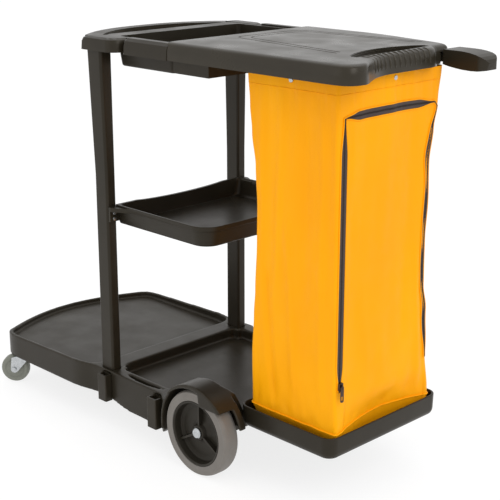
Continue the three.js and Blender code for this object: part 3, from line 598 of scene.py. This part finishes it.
def fender(sign):
    def across(name, outline, y0, y1):
        return prism_y(name, outline, *sorted((sign * y0, sign * y1)))

    def span(x0, x1, y0, y1, z0, z1):
        return block(x0, x1, *sorted((sign * y0, sign * y1)), z0, z1)

    cx, cz = WHEEL
    roof = across("roof", circle(cx, cz, 118, 120), 207, 268)
    # the shoulder runs down into the well in a soft slope
    slope = [(150, 116.3), (209.6, 116.3), (209.6, 213.5)]
    slope += bezier((209.6, 213.5), (196, 213.5), (180, 176), (166, 150.4), 8)
    shoulder = prism_x("shoulder", [(sign * y, z) for y, z in slope], 250, 424)
    shoulder = combine("INTERSECT", shoulder, across("wide", circle(cx, cz, 118, 120), 140, 214))
    arch = combine("UNION", roof, shoulder, span(262, 423.7, 160, 209.2, 118.6, 149.6))
    combine(
        "DIFFERENCE",
        arch,
        span(cx - 140, cx + 140, 195, 290, -40, 78),
        span(442, 500, 226, 290, -10, 178),
        span(437, 500, 190, 290, -10, 133),
    )
    flare_outline = [(206, 200), (276, 200), (276, 268)]
    flare_outline += bezier((276, 268), (252, 267), (232, 241), (206, 236), 8)
    flare = prism("flare", [(x, sign * y) for x, y in flare_outline], 30, 150)
    flare = combine("INTERSECT", flare, prism_y("side", deck_side(), -300, 300))
    combine("UNION", arch, flare)
    hollow = across("hollow", circle(cx, cz, 112, 120), 212, 263.5)
    below_axle = span(cx - 112, cx + 112, 212, 263.5, -60, cz)
    below_skirt = span(cx - 150, cx + 150, 262.5, 290, -60, 176)
    combine("UNION", hollow, below_axle, below_skirt)
    # the skirt is shallow in front, where the tyre's top shows, and deepest at its rear end
    eye = across("eye", circle(cx - 6, cz - 4, 111, 90), 262.5, 290)
    front = [(200, 60), (cx + 42, 60), (cx + 6, 260), (200, 260)]
    combine("INTERSECT", eye, prism_y("front", front, -300, 300))
    combine("UNION", hollow, eye)
    return arch, hollow


def base_deck():
    outer = prism("base_deck_body", deck_outline(0), 30, 160)
    combine("INTERSECT", outer, prism_y("side", deck_side(), -300, 300))

    def under(x0, x1, top):
        inside = prism("inside", deck_outline(6), 0, 145)
        return combine("INTERSECT", inside, block(x0, x1, -300, 300, 10, top))

    front = combine(
        "DIFFERENCE",
        under(-510, -48, 122),
        prism("pad", circle(-372, -213, 30, 48), 106, 140),
        prism("pad", circle(-372, 213, 30, 48), 106, 140),
        block(-250, -245, -280, 280, 84, 200),
    )
    sockets = [block(-32, 36, *sorted((s * 196, s * 240)), 100, 150) for s in (-1, 1)]
    ridge = combine("DIFFERENCE", under(-34, 6, 200), *sockets)
    sockets = [block(-32, 36, *sorted((s * 196, s * 240)), 100, 150) for s in (-1, 1)]
    rear = combine("DIFFERENCE", under(11, 414, 118), *sockets, block(210, 215, -206, 206, 84, 200))
    recess = combine(
        "INTERSECT",
        prism("recess", deck_outline(9), 127, 170),
        prism("end", rounded_rect(-620, -40, -243, 243, 45), 0, 300),
    )
    well = prism("well", rounded_rect(14, 408, -204, 204, 42), 123, 300)
    corners = [block(0, 37, *sorted((s * 190, s * 260)), 0, 400) for s in (-1, 1)]
    well = combine("DIFFERENCE", well, *corners)
    wheel_room = [block(250, 480, *sorted((s * 211, s * 300)), 0, 400) for s in (-1, 1)]
    combine("DIFFERENCE", outer, front, ridge, rear, recess, well, *wheel_room)
    for sign in (-1, 1):
        bow = [math.sin(math.pi * i / 24) for i in range(25)]
        crescent = [(58 + 152 * i / 24, 213.5 + 2 * bow[i]) for i in range(25)]
        crescent += [(210 - 152 * i / 24, 213.5 + 14.5 * bow[i] ** 0.7) for i in range(1, 24)]
        combine("DIFFERENCE", outer, prism("crescent", [(x, sign * y) for x, y in crescent], 137, 160))
        arch, hollow = fender(sign)
        combine("UNION", outer, arch)
        combine("DIFFERENCE", outer, hollow)
        post = rounded_rect(-20.3, 26.3, *sorted((sign * 200.7, sign * 229.3)), 7, 4)
        combine("DIFFERENCE", outer, prism("post", post, 111.7, 200))
        combine("DIFFERENCE", outer, prism("bolt", circle(3, sign * 215, 10, 32), 30, 100))
        for x in (12, 209):
            combine("DIFFERENCE", outer, block(x - 17, x + 17, *sorted((sign * 233.7, sign * 270)), 30, 147))
    combine("DIFFERENCE", outer, prism_y("axle", circle(WHEEL[0], WHEEL[1], 8.3, 32), -280, 280))
    return outer


deck = base_deck()
modify(deck, "REMESH", mode="VOXEL", voxel_size=0.0027, adaptivity=0.0)
bake(deck)
modify(deck, "SMOOTH", factor=0.5, iterations=4)
modify(deck, "DECIMATE", ratio=0.32)
bake(deck)
deck.data.materials.clear()
deck.data.materials.append(FRAME)
smooth(deck, 60)
done(deck, "cart", ["base_deck"])


# ---------------------------------------------------------------- lid

LID_TOP, LID_HALF, LID_CORNER, LID_END, LID_FAR_END = 975, 234, 776, 722, 700


def lid_outline(inset, x0):
    steps = 14
    near, far = inset - LID_HALF, LID_HALF - inset
    corner, end, far_end = LID_CORNER - inset, LID_END - inset, LID_FAR_END - inset
    points = [(x0, near)]
    points += [(x0 + (690 - x0) * i / 12, near) for i in range(1, 13)]
    points += bezier((690, near), (744, near), (corner, near - 4), (corner, near + 46), steps)
    points += bezier((corner, near + 46), (corner, -164), (end + 2, -120), (end, -45), steps)
    points += [(end, -45 + 130 * i / 5) for i in range(1, 6)]
    points += bezier((end, 85), (end, 120), (far_end, 110), (far_end, 138), 8)
    points += [(far_end, 168)]
    points += bezier((far_end, 168), (far_end, far - 42), (650, far - 33), (600, far - 25), steps)
    points += bezier((600, far - 25), (540, far - 15), (490, far), (420, far), steps)
    points += [(420 + (x0 - 420) * i / 6, far) for i in range(1, 7)]
    return points


def lid():
    outside = filleted([(0, 936, 0), (0.6, 957, 6), (4.5, 970.5, 6), (12, 974.4, 4), (24, LID_TOP, 0)], 6)
    rings = [[(x, y, z) for x, y in lid_outline(inset, 253)] for inset, z in outside]
    body = loft("lid_shell", rings, LID)
    rings = [
        [(x, y, z) for x, y in lid_outline(inset, 200)]
        for inset, z in ((4, 900), (4.6, 956), (9, 966), (16, 971))
    ]
    combine("DIFFERENCE", body, loft("inner", rings), block(200, 259, -300, 300, 900, 969))
    combine("UNION", body, prism("pad", rounded_rect(634, 706, -134, 106, 8), 959, 972))
    # long finger scoop, wider in its middle
    low, high = -128, 120
    for depth, grow in ((966.5, 0), (971.5, 2.5), (974.2, 5)):
        front = [(700 + grow * 0.3 - 12 * i / 24, low + (high - low) * i / 24) for i in range(25)]
        back = [
            (678 + 12 * i / 24 - 38 * math.sin(math.pi * i / 24) ** 0.7 - grow, high - (high - low) * i / 24)
            for i in range(25)
        ]
        scoop = prism("scoop", front + back, depth, 990)
        combine("DIFFERENCE", body, scoop)
    combine("DIFFERENCE", body, block(690, 740, 146, 196, 900, 961))
    for y0, y1 in ((-188, -121), (-34, 34), (121, 188)):
        knuckle = prism_y("knuckle", circle(246, 966.5, 6.5, 40), y0, y1)
        combine("UNION", knuckle, block(247, 256, y0, y1, 966.5, 972))
        combine("UNION", body, knuckle)
    combine("DIFFERENCE", body, prism_y("pin", circle(246, 966.5, 3.3, 32), -180, 200))
    return body


def groove_path(inset):
    """A hairpin open towards the bag's end, its round end beside the hinge."""
    x_round, x_open = 296 + inset * 1.3, 632 - inset * 0.4
    near0, near1, far0, far1 = -66 + inset, -108 + inset, 150 - inset, 168 - inset
    points = [(x_open, near1)]
    straight, back = x_round + 26, x_round - 6
    run = straight - x_open
    points += [(x_open + run * i / 20, near1 + (near0 - near1) * i / 20) for i in range(1, 20)]
    points += bezier(points[-1], (x_round, near0 + 2), (back, near0 + 14), (back, near0 + 34), 10)
    points += bezier(points[-1], (back, far0 - 34), (back, far0 - 12), (straight, far0), 16)
    points += [(straight + (x_open - straight) * i / 20, far0 + (far1 - far0) * i / 20) for i in range(1, 21)]
    return [(x, y, LID_TOP + 0.6) for x, y in points]


lid_body = lid()
for inset in (0, 17):
    combine("DIFFERENCE", lid_body, tube("groove", groove_path(inset), 2.4, sides=12))
lid_body.data.materials.clear()
lid_body.data.materials.append(LID)
smooth(lid_body, 32)
done(lid_body, "lid", ["lid"])


def lid_end(y):
    """X of the lid's end at y."""
    edge = [p for p in lid_outline(0, 253) if p[0] > 695 and p[1] > -180]
    for a, b in zip(edge, edge[1:]):
        if a[1] <= y <= b[1] and b[1] > a[1]:
            return a[0] + (b[0] - a[0]) * (y - a[1]) / (b[1] - a[1])
    return LID_END


ribs = None
for k in range(13):
    y = -112 + 16.2 * k
    path = [(698.0, y, 974.3), (704, y, 974.0), (709.5, y, 972.8), (714, y, 970.2), (717.3, y, 966.0)]
    path += [(719.4, y, 960), (720.6, y, 953), (721.2, y, 946)]
    path = [(x + (lid_end(y) - LID_END) * ease(700, 716, x), y, z) for x, y, z in path]
    rib = tube("lid_grip_ribs", path, lambda t: 3.1 if 0.05 < t < 0.9 else 1.2, LID, sides=10)
    ribs = rib if ribs is None else join(ribs, rib)
smooth(ribs, 60)
done(ribs, "lid")


# ---------------------------------------------------------------- bag

BAG_END, BAG_LOW, BAG_HIGH = 697, 133, 931
# z, X of the face towards the uprights, half width on the near and on the far side
BAG_SHAPE = [
    (133, 450, 147, 150),
    (146, 446, 152, 158),
    (178, 441, 161, 166),
    (300, 446, 168, 150),
    (390, 452, 169, 145),
    (450, 457, 170, 133),
    (560, 462, 170, 131),
    (640, 463, 170, 137),
    (725, 458, 170, 134),
    (800, 449, 172, 145),
    (860, 444, 173, 159),
    (931, 439, 174, 168),
]
BAG_CORNERS = (7, 18, 14, 12)  # near end, far end, far inner, near inner
SLIDER_FLAT = (-138, -122)  # Y where the end face eases into the flat that the zipper slider runs on


def gathers(s, z, at, width, lean, z0, z1, height):
    """One soft vertical fold: s is the distance round the bag from its near end corner."""
    centre = at + lean * (z - 540)
    fade = ease(z0, z0 + 90, z) * (1 - ease(z1 - 90, z1, z))
    return height * fade * math.exp(-(((s - centre) / width) ** 2))


NEAR_FOLDS = [
    # distance from the near end corner along the near face, width, lean, z from, z to, height
    (34, 11, 0.004, 190, 900, 3.4),
    (84, 18, -0.02, 420, 905, -4.6),
    (126, 12, 0.05, 200, 660, 4.2),
    (160, 13, -0.045, 430, 925, 4.8),
    (196, 11, 0.065, 160, 560, -5.2),
    (212, 13, -0.03, 520, 920, 4.2),
]
END_FOLDS = [
    (70, 22, 0.03, 150, 520, -3.6),
    (150, 30, -0.03, 180, 860, 2.6),
    (228, 18, 0.05, 300, 880, -4.0),
    (262, 12, -0.05, 150, 600, 4.2),
]


def bag_offset(face, along, z):
    """How far the cloth stands out of its plain shape."""
    d = 0.0
    if face == "near":
        d += sum(gathers(along, z, *f) for f in NEAR_FOLDS)
    elif face == "end":
        d += sum(gathers(along, z, *f) for f in END_FOLDS)
    elif face == "far":
        d += sum(gathers(250 - along, z, *f) for f in NEAR_FOLDS)
    else:
        d += sum(gathers(300 - along, z, *f) for f in END_FOLDS) * 1.2
    seed = {"near": 3.1, "end": 7.7, "far": 12.9, "inner": 21.3}[face]
    d += 4.6 * noise.noise(Vector((along / 85, z / 220, seed)))
    d += 2.0 * noise.noise(Vector((along / 34, z / 110, seed + 5)))
    pucker = math.exp(-max(0.0, BAG_HIGH - z) / 46)
    d += 6.5 * pucker * noise.noise(Vector((along / 15, z / 190, seed + 9)))
    low = math.exp(-abs(z - 196) / 34)
    d += 4.6 * low * noise.noise(Vector((along / 24, z / 60, seed + 13)))
    # kept flat at the hoop and where the platform's wall is close
    return d * (1 - 0.65 * ease(885, 925, z)) * (0.3 + 0.7 * ease(150, 200, z))


def bag_ring(z, out=0.0):
    """The bag's outline at z, stood out by out. It starts at the near corner of its end face."""
    x0, near, far = mixed(BAG_SHAPE, z)
    steps = 9
    end = BAG_END
    r1, r2, r3, r4 = BAG_CORNERS
    points = []

    def run(face, start, stop, count, normal):
        for i in range(count):
            t = i / count
            x = start[0] + (stop[0] - start[0]) * t
            y = start[1] + (stop[1] - start[1]) * t
            length = math.hypot(stop[0] - start[0], stop[1] - start[1])
            fade = min(1.0, min(t, 1 - t) * length / 12)
            points.append((face, t * length, x, y, normal, fade))

    def turn(cx, cy, r, start):
        for i in range(steps):
            a = math.radians(start + 90 * i / steps)
            nx, ny = math.cos(a), math.sin(a)
            points.append((None, 0, cx + r * nx, cy + r * ny, (nx, ny), 0))

    turn(end - r1, -near + r1, r1, -90)
    run("end", (end, -near + r1), (end, far - r2), 110, (1, 0))
    turn(end - r2, far - r2, r2, 0)
    run("far", (end - r2, far), (x0 + r3, far), 80, (0, 1))
    turn(x0 + r3, far - r3, r3, 90)
    run("inner", (x0, far - r3), (x0, -near + r4), 100, (-1, 0))
    turn(x0 + r4, -near + r4, r4, 180)
    run("near", (x0 + r4, -near), (end - r1, -near), 80, (0, -1))
    made = []
    for face, along, x, y, normal, fade in points:
        if face == "near":
            along = (end - r1) - x
        elif face == "end":
            along = y + near
        d = out
        if face is not None:
            d += fade * bag_offset(face, along, z)
        if face == "end":
            d += end_draw(y, z)
            if y < SLIDER_FLAT[1]:
                d = out + end_draw(y, z) + (d - out - end_draw(y, z)) * ease(*SLIDER_FLAT, y)
        made.append((x + normal[0] * d, y + normal[1] * d, z + lift_of(x, y, z)))
    return made


def end_draw(y, z):
    """The foot of the end face is drawn inwards in its middle."""
    across = math.cos(math.pi * min(1, abs(y - 8) / 165) / 2) ** 1.3
    return -24 * across * (1 - ease(170, 262, z))


def lift_of(x, y, z):
    """The bottom edge rises a little between the corners."""
    across = math.cos(math.pi * min(1, abs(y - 8) / 170) / 2)
    towards_end = ease(600, 697, x)
    return 9 * across * towards_end * (1 - ease(185, 250, z)) * ease(150, 176, z)


def bag():
    rows_z = [BAG_LOW, 133.8, 136, 139, 143, 148, 154, 160, 166, 171, 174, 176, 178, 180, 184, 189]
    z = 194.0
    while z < BAG_HIGH:
        rows_z.append(z)
        z += 5.6
    rows_z.append(BAG_HIGH)
    rings = [bag_ring(z) for z in rows_z]
    floor = []
    cx, cy = 572, 2
    for share in (0.97, 0.9, 0.75, 0.5, 0.25):
        floor.append([(cx + (x - cx) * share, cy + (y - cy) * share, 132.6) for x, y, _ in rings[0]])
    rings = floor[::-1] + rings
    count = len(rings[0])
    points = [p for r in rings for p in r]
    faces = [tuple(range(count))[::-1]]
    for k in range(len(rings) - 1):
        for i in range(count):
            j = (i + 1) % count
            faces.append((k * count + i, k * count + j, (k + 1) * count + j, (k + 1) * count + i))
    made = mesh_object("bag_cloth", points, faces, BAG)
    modify(made, "SOLIDIFY", thickness=1.4 * MM, offset=-1)
    bake(made)
    smooth(made, 80)
    return made


bag_cloth = bag()
done(bag_cloth, "cart", ["bag"])

# bottom seam: a folded welt round the bag
welt = tube("bag_bottom_welt", bag_ring(177, 1.2)[::3], 1.7, BAG, sides=8, closed=True)
smooth(welt, 80)
done(welt, "cart")
# top hem stitching
hem = tube("bag_hem_stitch", bag_ring(904, 0.25)[::4], 0.55, BAG, sides=6, closed=True)
smooth(hem, 80)
done(hem, "cart")


# ---------------------------------------------------------------- zipper


def end_surface(y, z, out=0.0):
    """A point on the bag's end face or the round of its far corner."""
    _, near, far = mixed(BAG_SHAPE, z)
    r = BAG_CORNERS[1]
    if y > far - r:
        a = min(1.4, (y - (far - r)) / r)
        return (BAG_END - r + (r + out) * math.cos(a), far - r + (r + out) * math.sin(a), z)
    d = bag_offset("end", y + near, z) * min(1.0, max(0.0, (far - r - y) / 12)) + end_draw(y, z)
    if y < SLIDER_FLAT[1]:
        d = end_draw(y, z) + (d - end_draw(y, z)) * ease(*SLIDER_FLAT, y)
    return (BAG_END + max(d, -30) + out, y, z)


ZIP_NEAR, ZIP_FAR = -153.0, 134
ZIP_FOOT, ZIP_TOP = 275, 857


def zip_line():
    """(y, z, half width, direction) along the zipper: 1 up the near leg, 0 over the top, -1 down the far."""
    line = []
    for i in range(61):
        t = i / 60
        z = ZIP_FOOT + (ZIP_TOP - ZIP_FOOT) * t
        half = 3.0 + 6.0 * ease(0, 0.1, t) * (1 - ease(0.86, 1.0, t))
        line.append((ZIP_NEAR, z, half, 1))
    for i in range(1, 47):
        t = i / 46
        y = ZIP_NEAR + (ZIP_FAR - ZIP_NEAR) * t
        half = 2.6 + 6.4 * ease(0.02, 0.16, t) * (1 - ease(0.8, 0.98, t))
        line.append((y, ZIP_TOP + 3 * math.sin(math.pi * t), half, 0))
    for i in range(1, 61):
        t = i / 60
        z = ZIP_TOP - (ZIP_TOP - ZIP_FOOT) * t
        far = mixed(BAG_SHAPE, z)[2]
        y = far - 16 + 2.2 * math.sin(z / 21)
        half = 2.6 + 5.4 * ease(0.02, 0.12, t) * (1 - ease(0.88, 1, t))
        line.append((y, z, half, -1))
    return line


def strip(name, edges, thickness, material):
    """A closed band between pairs of points, thickened outwards along X."""
    count = len(edges)
    points, faces = [], []
    for a, b in edges:
        points += [a, b, (b[0] + thickness, b[1], b[2]), (a[0] + thickness, a[1], a[2])]
    for k in range(count - 1):
        for i in range(4):
            j = (i + 1) % 4
            faces.append((4 * k + i, 4 * k + j, 4 * k + 4 + j, 4 * k + 4 + i))
    faces.append((0, 1, 2, 3))
    faces.append(tuple(4 * (count - 1) + i for i in (3, 2, 1, 0)))
    return mesh_object(name, points, faces, material)


def zip_edges(scale, out):
    edges = []
    for y, z, half, up in zip_line():
        if up:
            a, b = end_surface(y - half * scale, z, out), end_surface(y + half * scale, z, out)
            if up < 0:
                a, b = b, a
        else:
            a, b = end_surface(y, z + half * scale, out), end_surface(y, z - half * scale, out)
        edges.append((a, b))
    return edges


tape = strip("zipper_band", zip_edges(1.0, 0.35), 0.8, TAPE)
smooth(tape, 50)
done(tape, "cart", ["zipper_tape"])

# lips of bag cloth folded along both sides of the band
lips = None
for pick in (0, 1):
    path = [e[pick] for e in zip_edges(1.12, 0.9)]
    lip = tube("zipper_lips", path, 1.5, BAG, sides=8)
    lips = lip if lips is None else join(lips, lip)
smooth(lips, 80)
done(lips, "cart")


def teeth():
    """Interlocked teeth along the band's middle."""
    line = zip_line()
    points, faces = [], []
    travelled = 0.0
    side = 1
    for (y0, z0, _, _), (y1, z1, _, _) in zip(line, line[1:]):
        length = math.hypot(y1 - y0, z1 - z0)
        while travelled <= length and length > 0:
            t = travelled / length
            y, z = y0 + (y1 - y0) * t, z0 + (z1 - z0) * t
            side = -side
            ty, tz = (y1 - y0) / length, (z1 - z0) / length
            base = end_surface(y, z, 1.15)
            for du, dv, dx in (
                (-1.1, -2.1, 0), (1.1, -2.1, 0), (1.1, 1.5, 0), (-1.1, 1.5, 0),
                (-0.8, -1.8, 1.0), (0.8, -1.8, 1.0), (0.8, 1.2, 1.0), (-0.8, 1.2, 1.0),
            ):
                dy, dz = ty * du - tz * dv * side, tz * du + ty * dv * side
                points.append((base[0] + dx, base[1] + dy, base[2] + dz))
            k = len(points) - 8
            faces += [
                (k, k + 3, k + 2, k + 1), (k + 4, k + 5, k + 6, k + 7), (k, k + 1, k + 5, k + 4),
                (k + 1, k + 2, k + 6, k + 5), (k + 2, k + 3, k + 7, k + 6), (k + 3, k, k + 4, k + 7),
            ]
            travelled += 3.0
        travelled -= length
    return mesh_object("zipper_teeth", points, faces, TEETH)


zip_teeth = teeth()
done(zip_teeth, "cart")


# ---------------------------------------------------------------- wheels


def rear_wheel(side, sign):
    a, b = 218.5, 260.5

    def flip(profile):
        return [(r, sign * y) for r, y in profile]

    outline = [
        (78, a), (93, a), (95, a + 0.8), (98, a + 0.4),
        (101.0, a + 7), (101.6, a + 12), (101.6, b - 12), (101.0, b - 7),
        (98, b - 0.6), (95.6, b - 0.2), (94, b - 1.2), (80.5, b - 0.4), (78, b - 0.4), (78, a),
    ]
    rounded = filleted([(r, y, 2.5) for r, y in outline], 4)[:-1]
    tyre = lathe(f"tyre_{side}", flip(rounded), WHEEL, TYRE, 128)
    smooth(tyre, 50)
    done(tyre, f"rear_wheel_{side}", [f"rear_tyre_{side}"])
    web = 234
    outline = [
        (8.3, a + 2.5), (19, a + 2.5), (19, web), (71, web),
        (72, a + 1.5), (77.4, a + 1.5), (77.4, b - 1), (75.5, b - 0.4),
        (72, b - 2), (69.5, web + 7), (60, web + 4.5), (30, web + 4.5),
        (21, web + 7), (17, 251), (15, 252), (8.3, 252), (8.3, a + 2.5),
    ]
    rounded = filleted([(r, y, 2) for r, y in outline], 4)[:-1]
    hub = lathe(f"hub_{side}", flip(rounded), WHEEL, HUB, 96)
    for degrees in (90, 210, 330):
        c, s = math.cos(math.radians(degrees)), math.sin(math.radians(degrees))
        foot = [(14, -4.5), (71.5, -4.0), (71.5, 4.0), (14, 4.5)]
        head = [(14, -2.8), (71.5, -2.4), (71.5, 2.4), (14, 2.8)]
        rings = []
        for points, y, back in ((foot, web + 2, 0), (head, 248, 0), (head, 249.5, 1)):
            turned = [((u - back) * c - v * s, (u - back) * s + v * c) for u, v in points]
            rings.append([(WHEEL[0] + x, sign * y, WHEEL[1] + z) for x, z in turned])
        combine("UNION", hub, loft("rib", rings))
    hub.data.materials.clear()
    hub.data.materials.append(HUB)
    smooth(hub, 35)
    done(hub, f"rear_wheel_{side}", [f"rear_hub_{side}"])


both_sides(rear_wheel)


def caster_wheel(side, sign):
    h = 13
    outline = [
        (4.3, -h), (11, -h), (12.5, -h + 1), (14, -h + 3.4), (24, -h + 3.4), (27, -h + 0.4),
        (35, -h), (38, -h + 6), (38, h - 6), (35, h),
        (27, h - 0.4), (24, h - 3.4), (14, h - 3.4), (12.5, h - 1), (11, h), (4.3, h), (4.3, -h),
    ]
    rounded = filleted([(r, y, 2.2) for r, y in outline], 4)[:-1]
    wheel = lathe(f"caster_tread_{side}", rounded, (0, 0), CASTER, 80)
    yaw = math.radians(40)
    middle = Vector(row(-372 - 34 * math.cos(yaw), sign * 213 - 34 * math.sin(yaw), 38))
    wheel.data.transform(Matrix.Translation((-LINE_X * MM, 0, 0)))
    wheel.data.transform(Matrix.Translation(middle) @ Matrix.Rotation(yaw, 4, "Z"))
    smooth(wheel, 50)
    done(wheel, f"caster_wheel_{side}", [f"caster_wheel_{side}"])


both_sides(caster_wheel)


# ---------------------------------------------------------------- studio


def plain(name, color, rough):
    n = Nodes(name)
    tone = n.mix(n.spread(n.noise(3, 2), 0.4, 0.6, 0, 1), lighter(color, 0.995), color)
    n.link(tone, n.shader.inputs["Base Color"])
    n.shader.inputs["Roughness"].default_value = rough
    n.shader.inputs["Specular IOR Level"].default_value = 0.1
    return n.material


floor_mesh = bpy.data.meshes.new("floor")
floor_mesh.from_pydata([(-30, -30, 0), (30, -30, 0), (30, 30, 0), (-30, 30, 0)], [], [(0, 1, 2, 3)])
paper = plain("floor_paper", (0.22, 0.22, 0.22, 1), 0.9)
glow = paper.node_tree.nodes["Principled BSDF"].inputs
glow["Emission Color"].default_value = (1, 1, 1, 1)
glow["Emission Strength"].default_value = 0.8
floor_mesh.materials.append(paper)
floor = bpy.data.objects.new("floor", floor_mesh)
bpy.context.scene.collection.objects.link(floor)

world = bpy.data.worlds.new("studio")
bpy.context.scene.world = world
world.use_nodes = True
world.node_tree.nodes["Background"].inputs["Color"].default_value = (1, 1, 1, 1)
world.node_tree.nodes["Background"].inputs["Strength"].default_value = 1.0


def light(name, at, to, size, power):
    data = bpy.data.lights.new(name, "AREA")
    data.energy = power
    data.size = size
    obj = bpy.data.objects.new(name, data)
    bpy.context.scene.collection.objects.link(obj)
    obj.location = at
    obj.rotation_euler = (Vector(to) - Vector(at)).to_track_quat("-Z", "Y").to_euler()


light("key", (2.6, -0.3, 2.6), (0.1, 0, 0.5), 1.6, 22)
light("fill", (-0.8, -3.2, 1.8), (0, 0, 0.45), 2.0, 6)
light("top", (-0.2, 0.6, 3.2), (0, 0, 0.4), 2.4, 14)

camera_data = bpy.data.cameras.new("camera")
camera_data.sensor_width = 36
camera_data.lens = 86.69
camera_data.clip_start = 0.05
camera_data.clip_end = 60
camera = bpy.data.objects.new("camera", camera_data)
bpy.context.scene.collection.objects.link(camera)
azimuth, pitch = math.radians(45.48), math.radians(16.66)
back = Vector((math.sin(azimuth) * math.cos(pitch), -math.cos(azimuth) * math.cos(pitch), math.sin(pitch)))
camera.location = (2.0722, -1.9265, 1.2879)
camera.rotation_euler = back.to_track_quat("Z", "Y").to_euler()
bpy.context.scene.camera = camera
bpy.context.scene.view_settings.view_transform = "Standard"
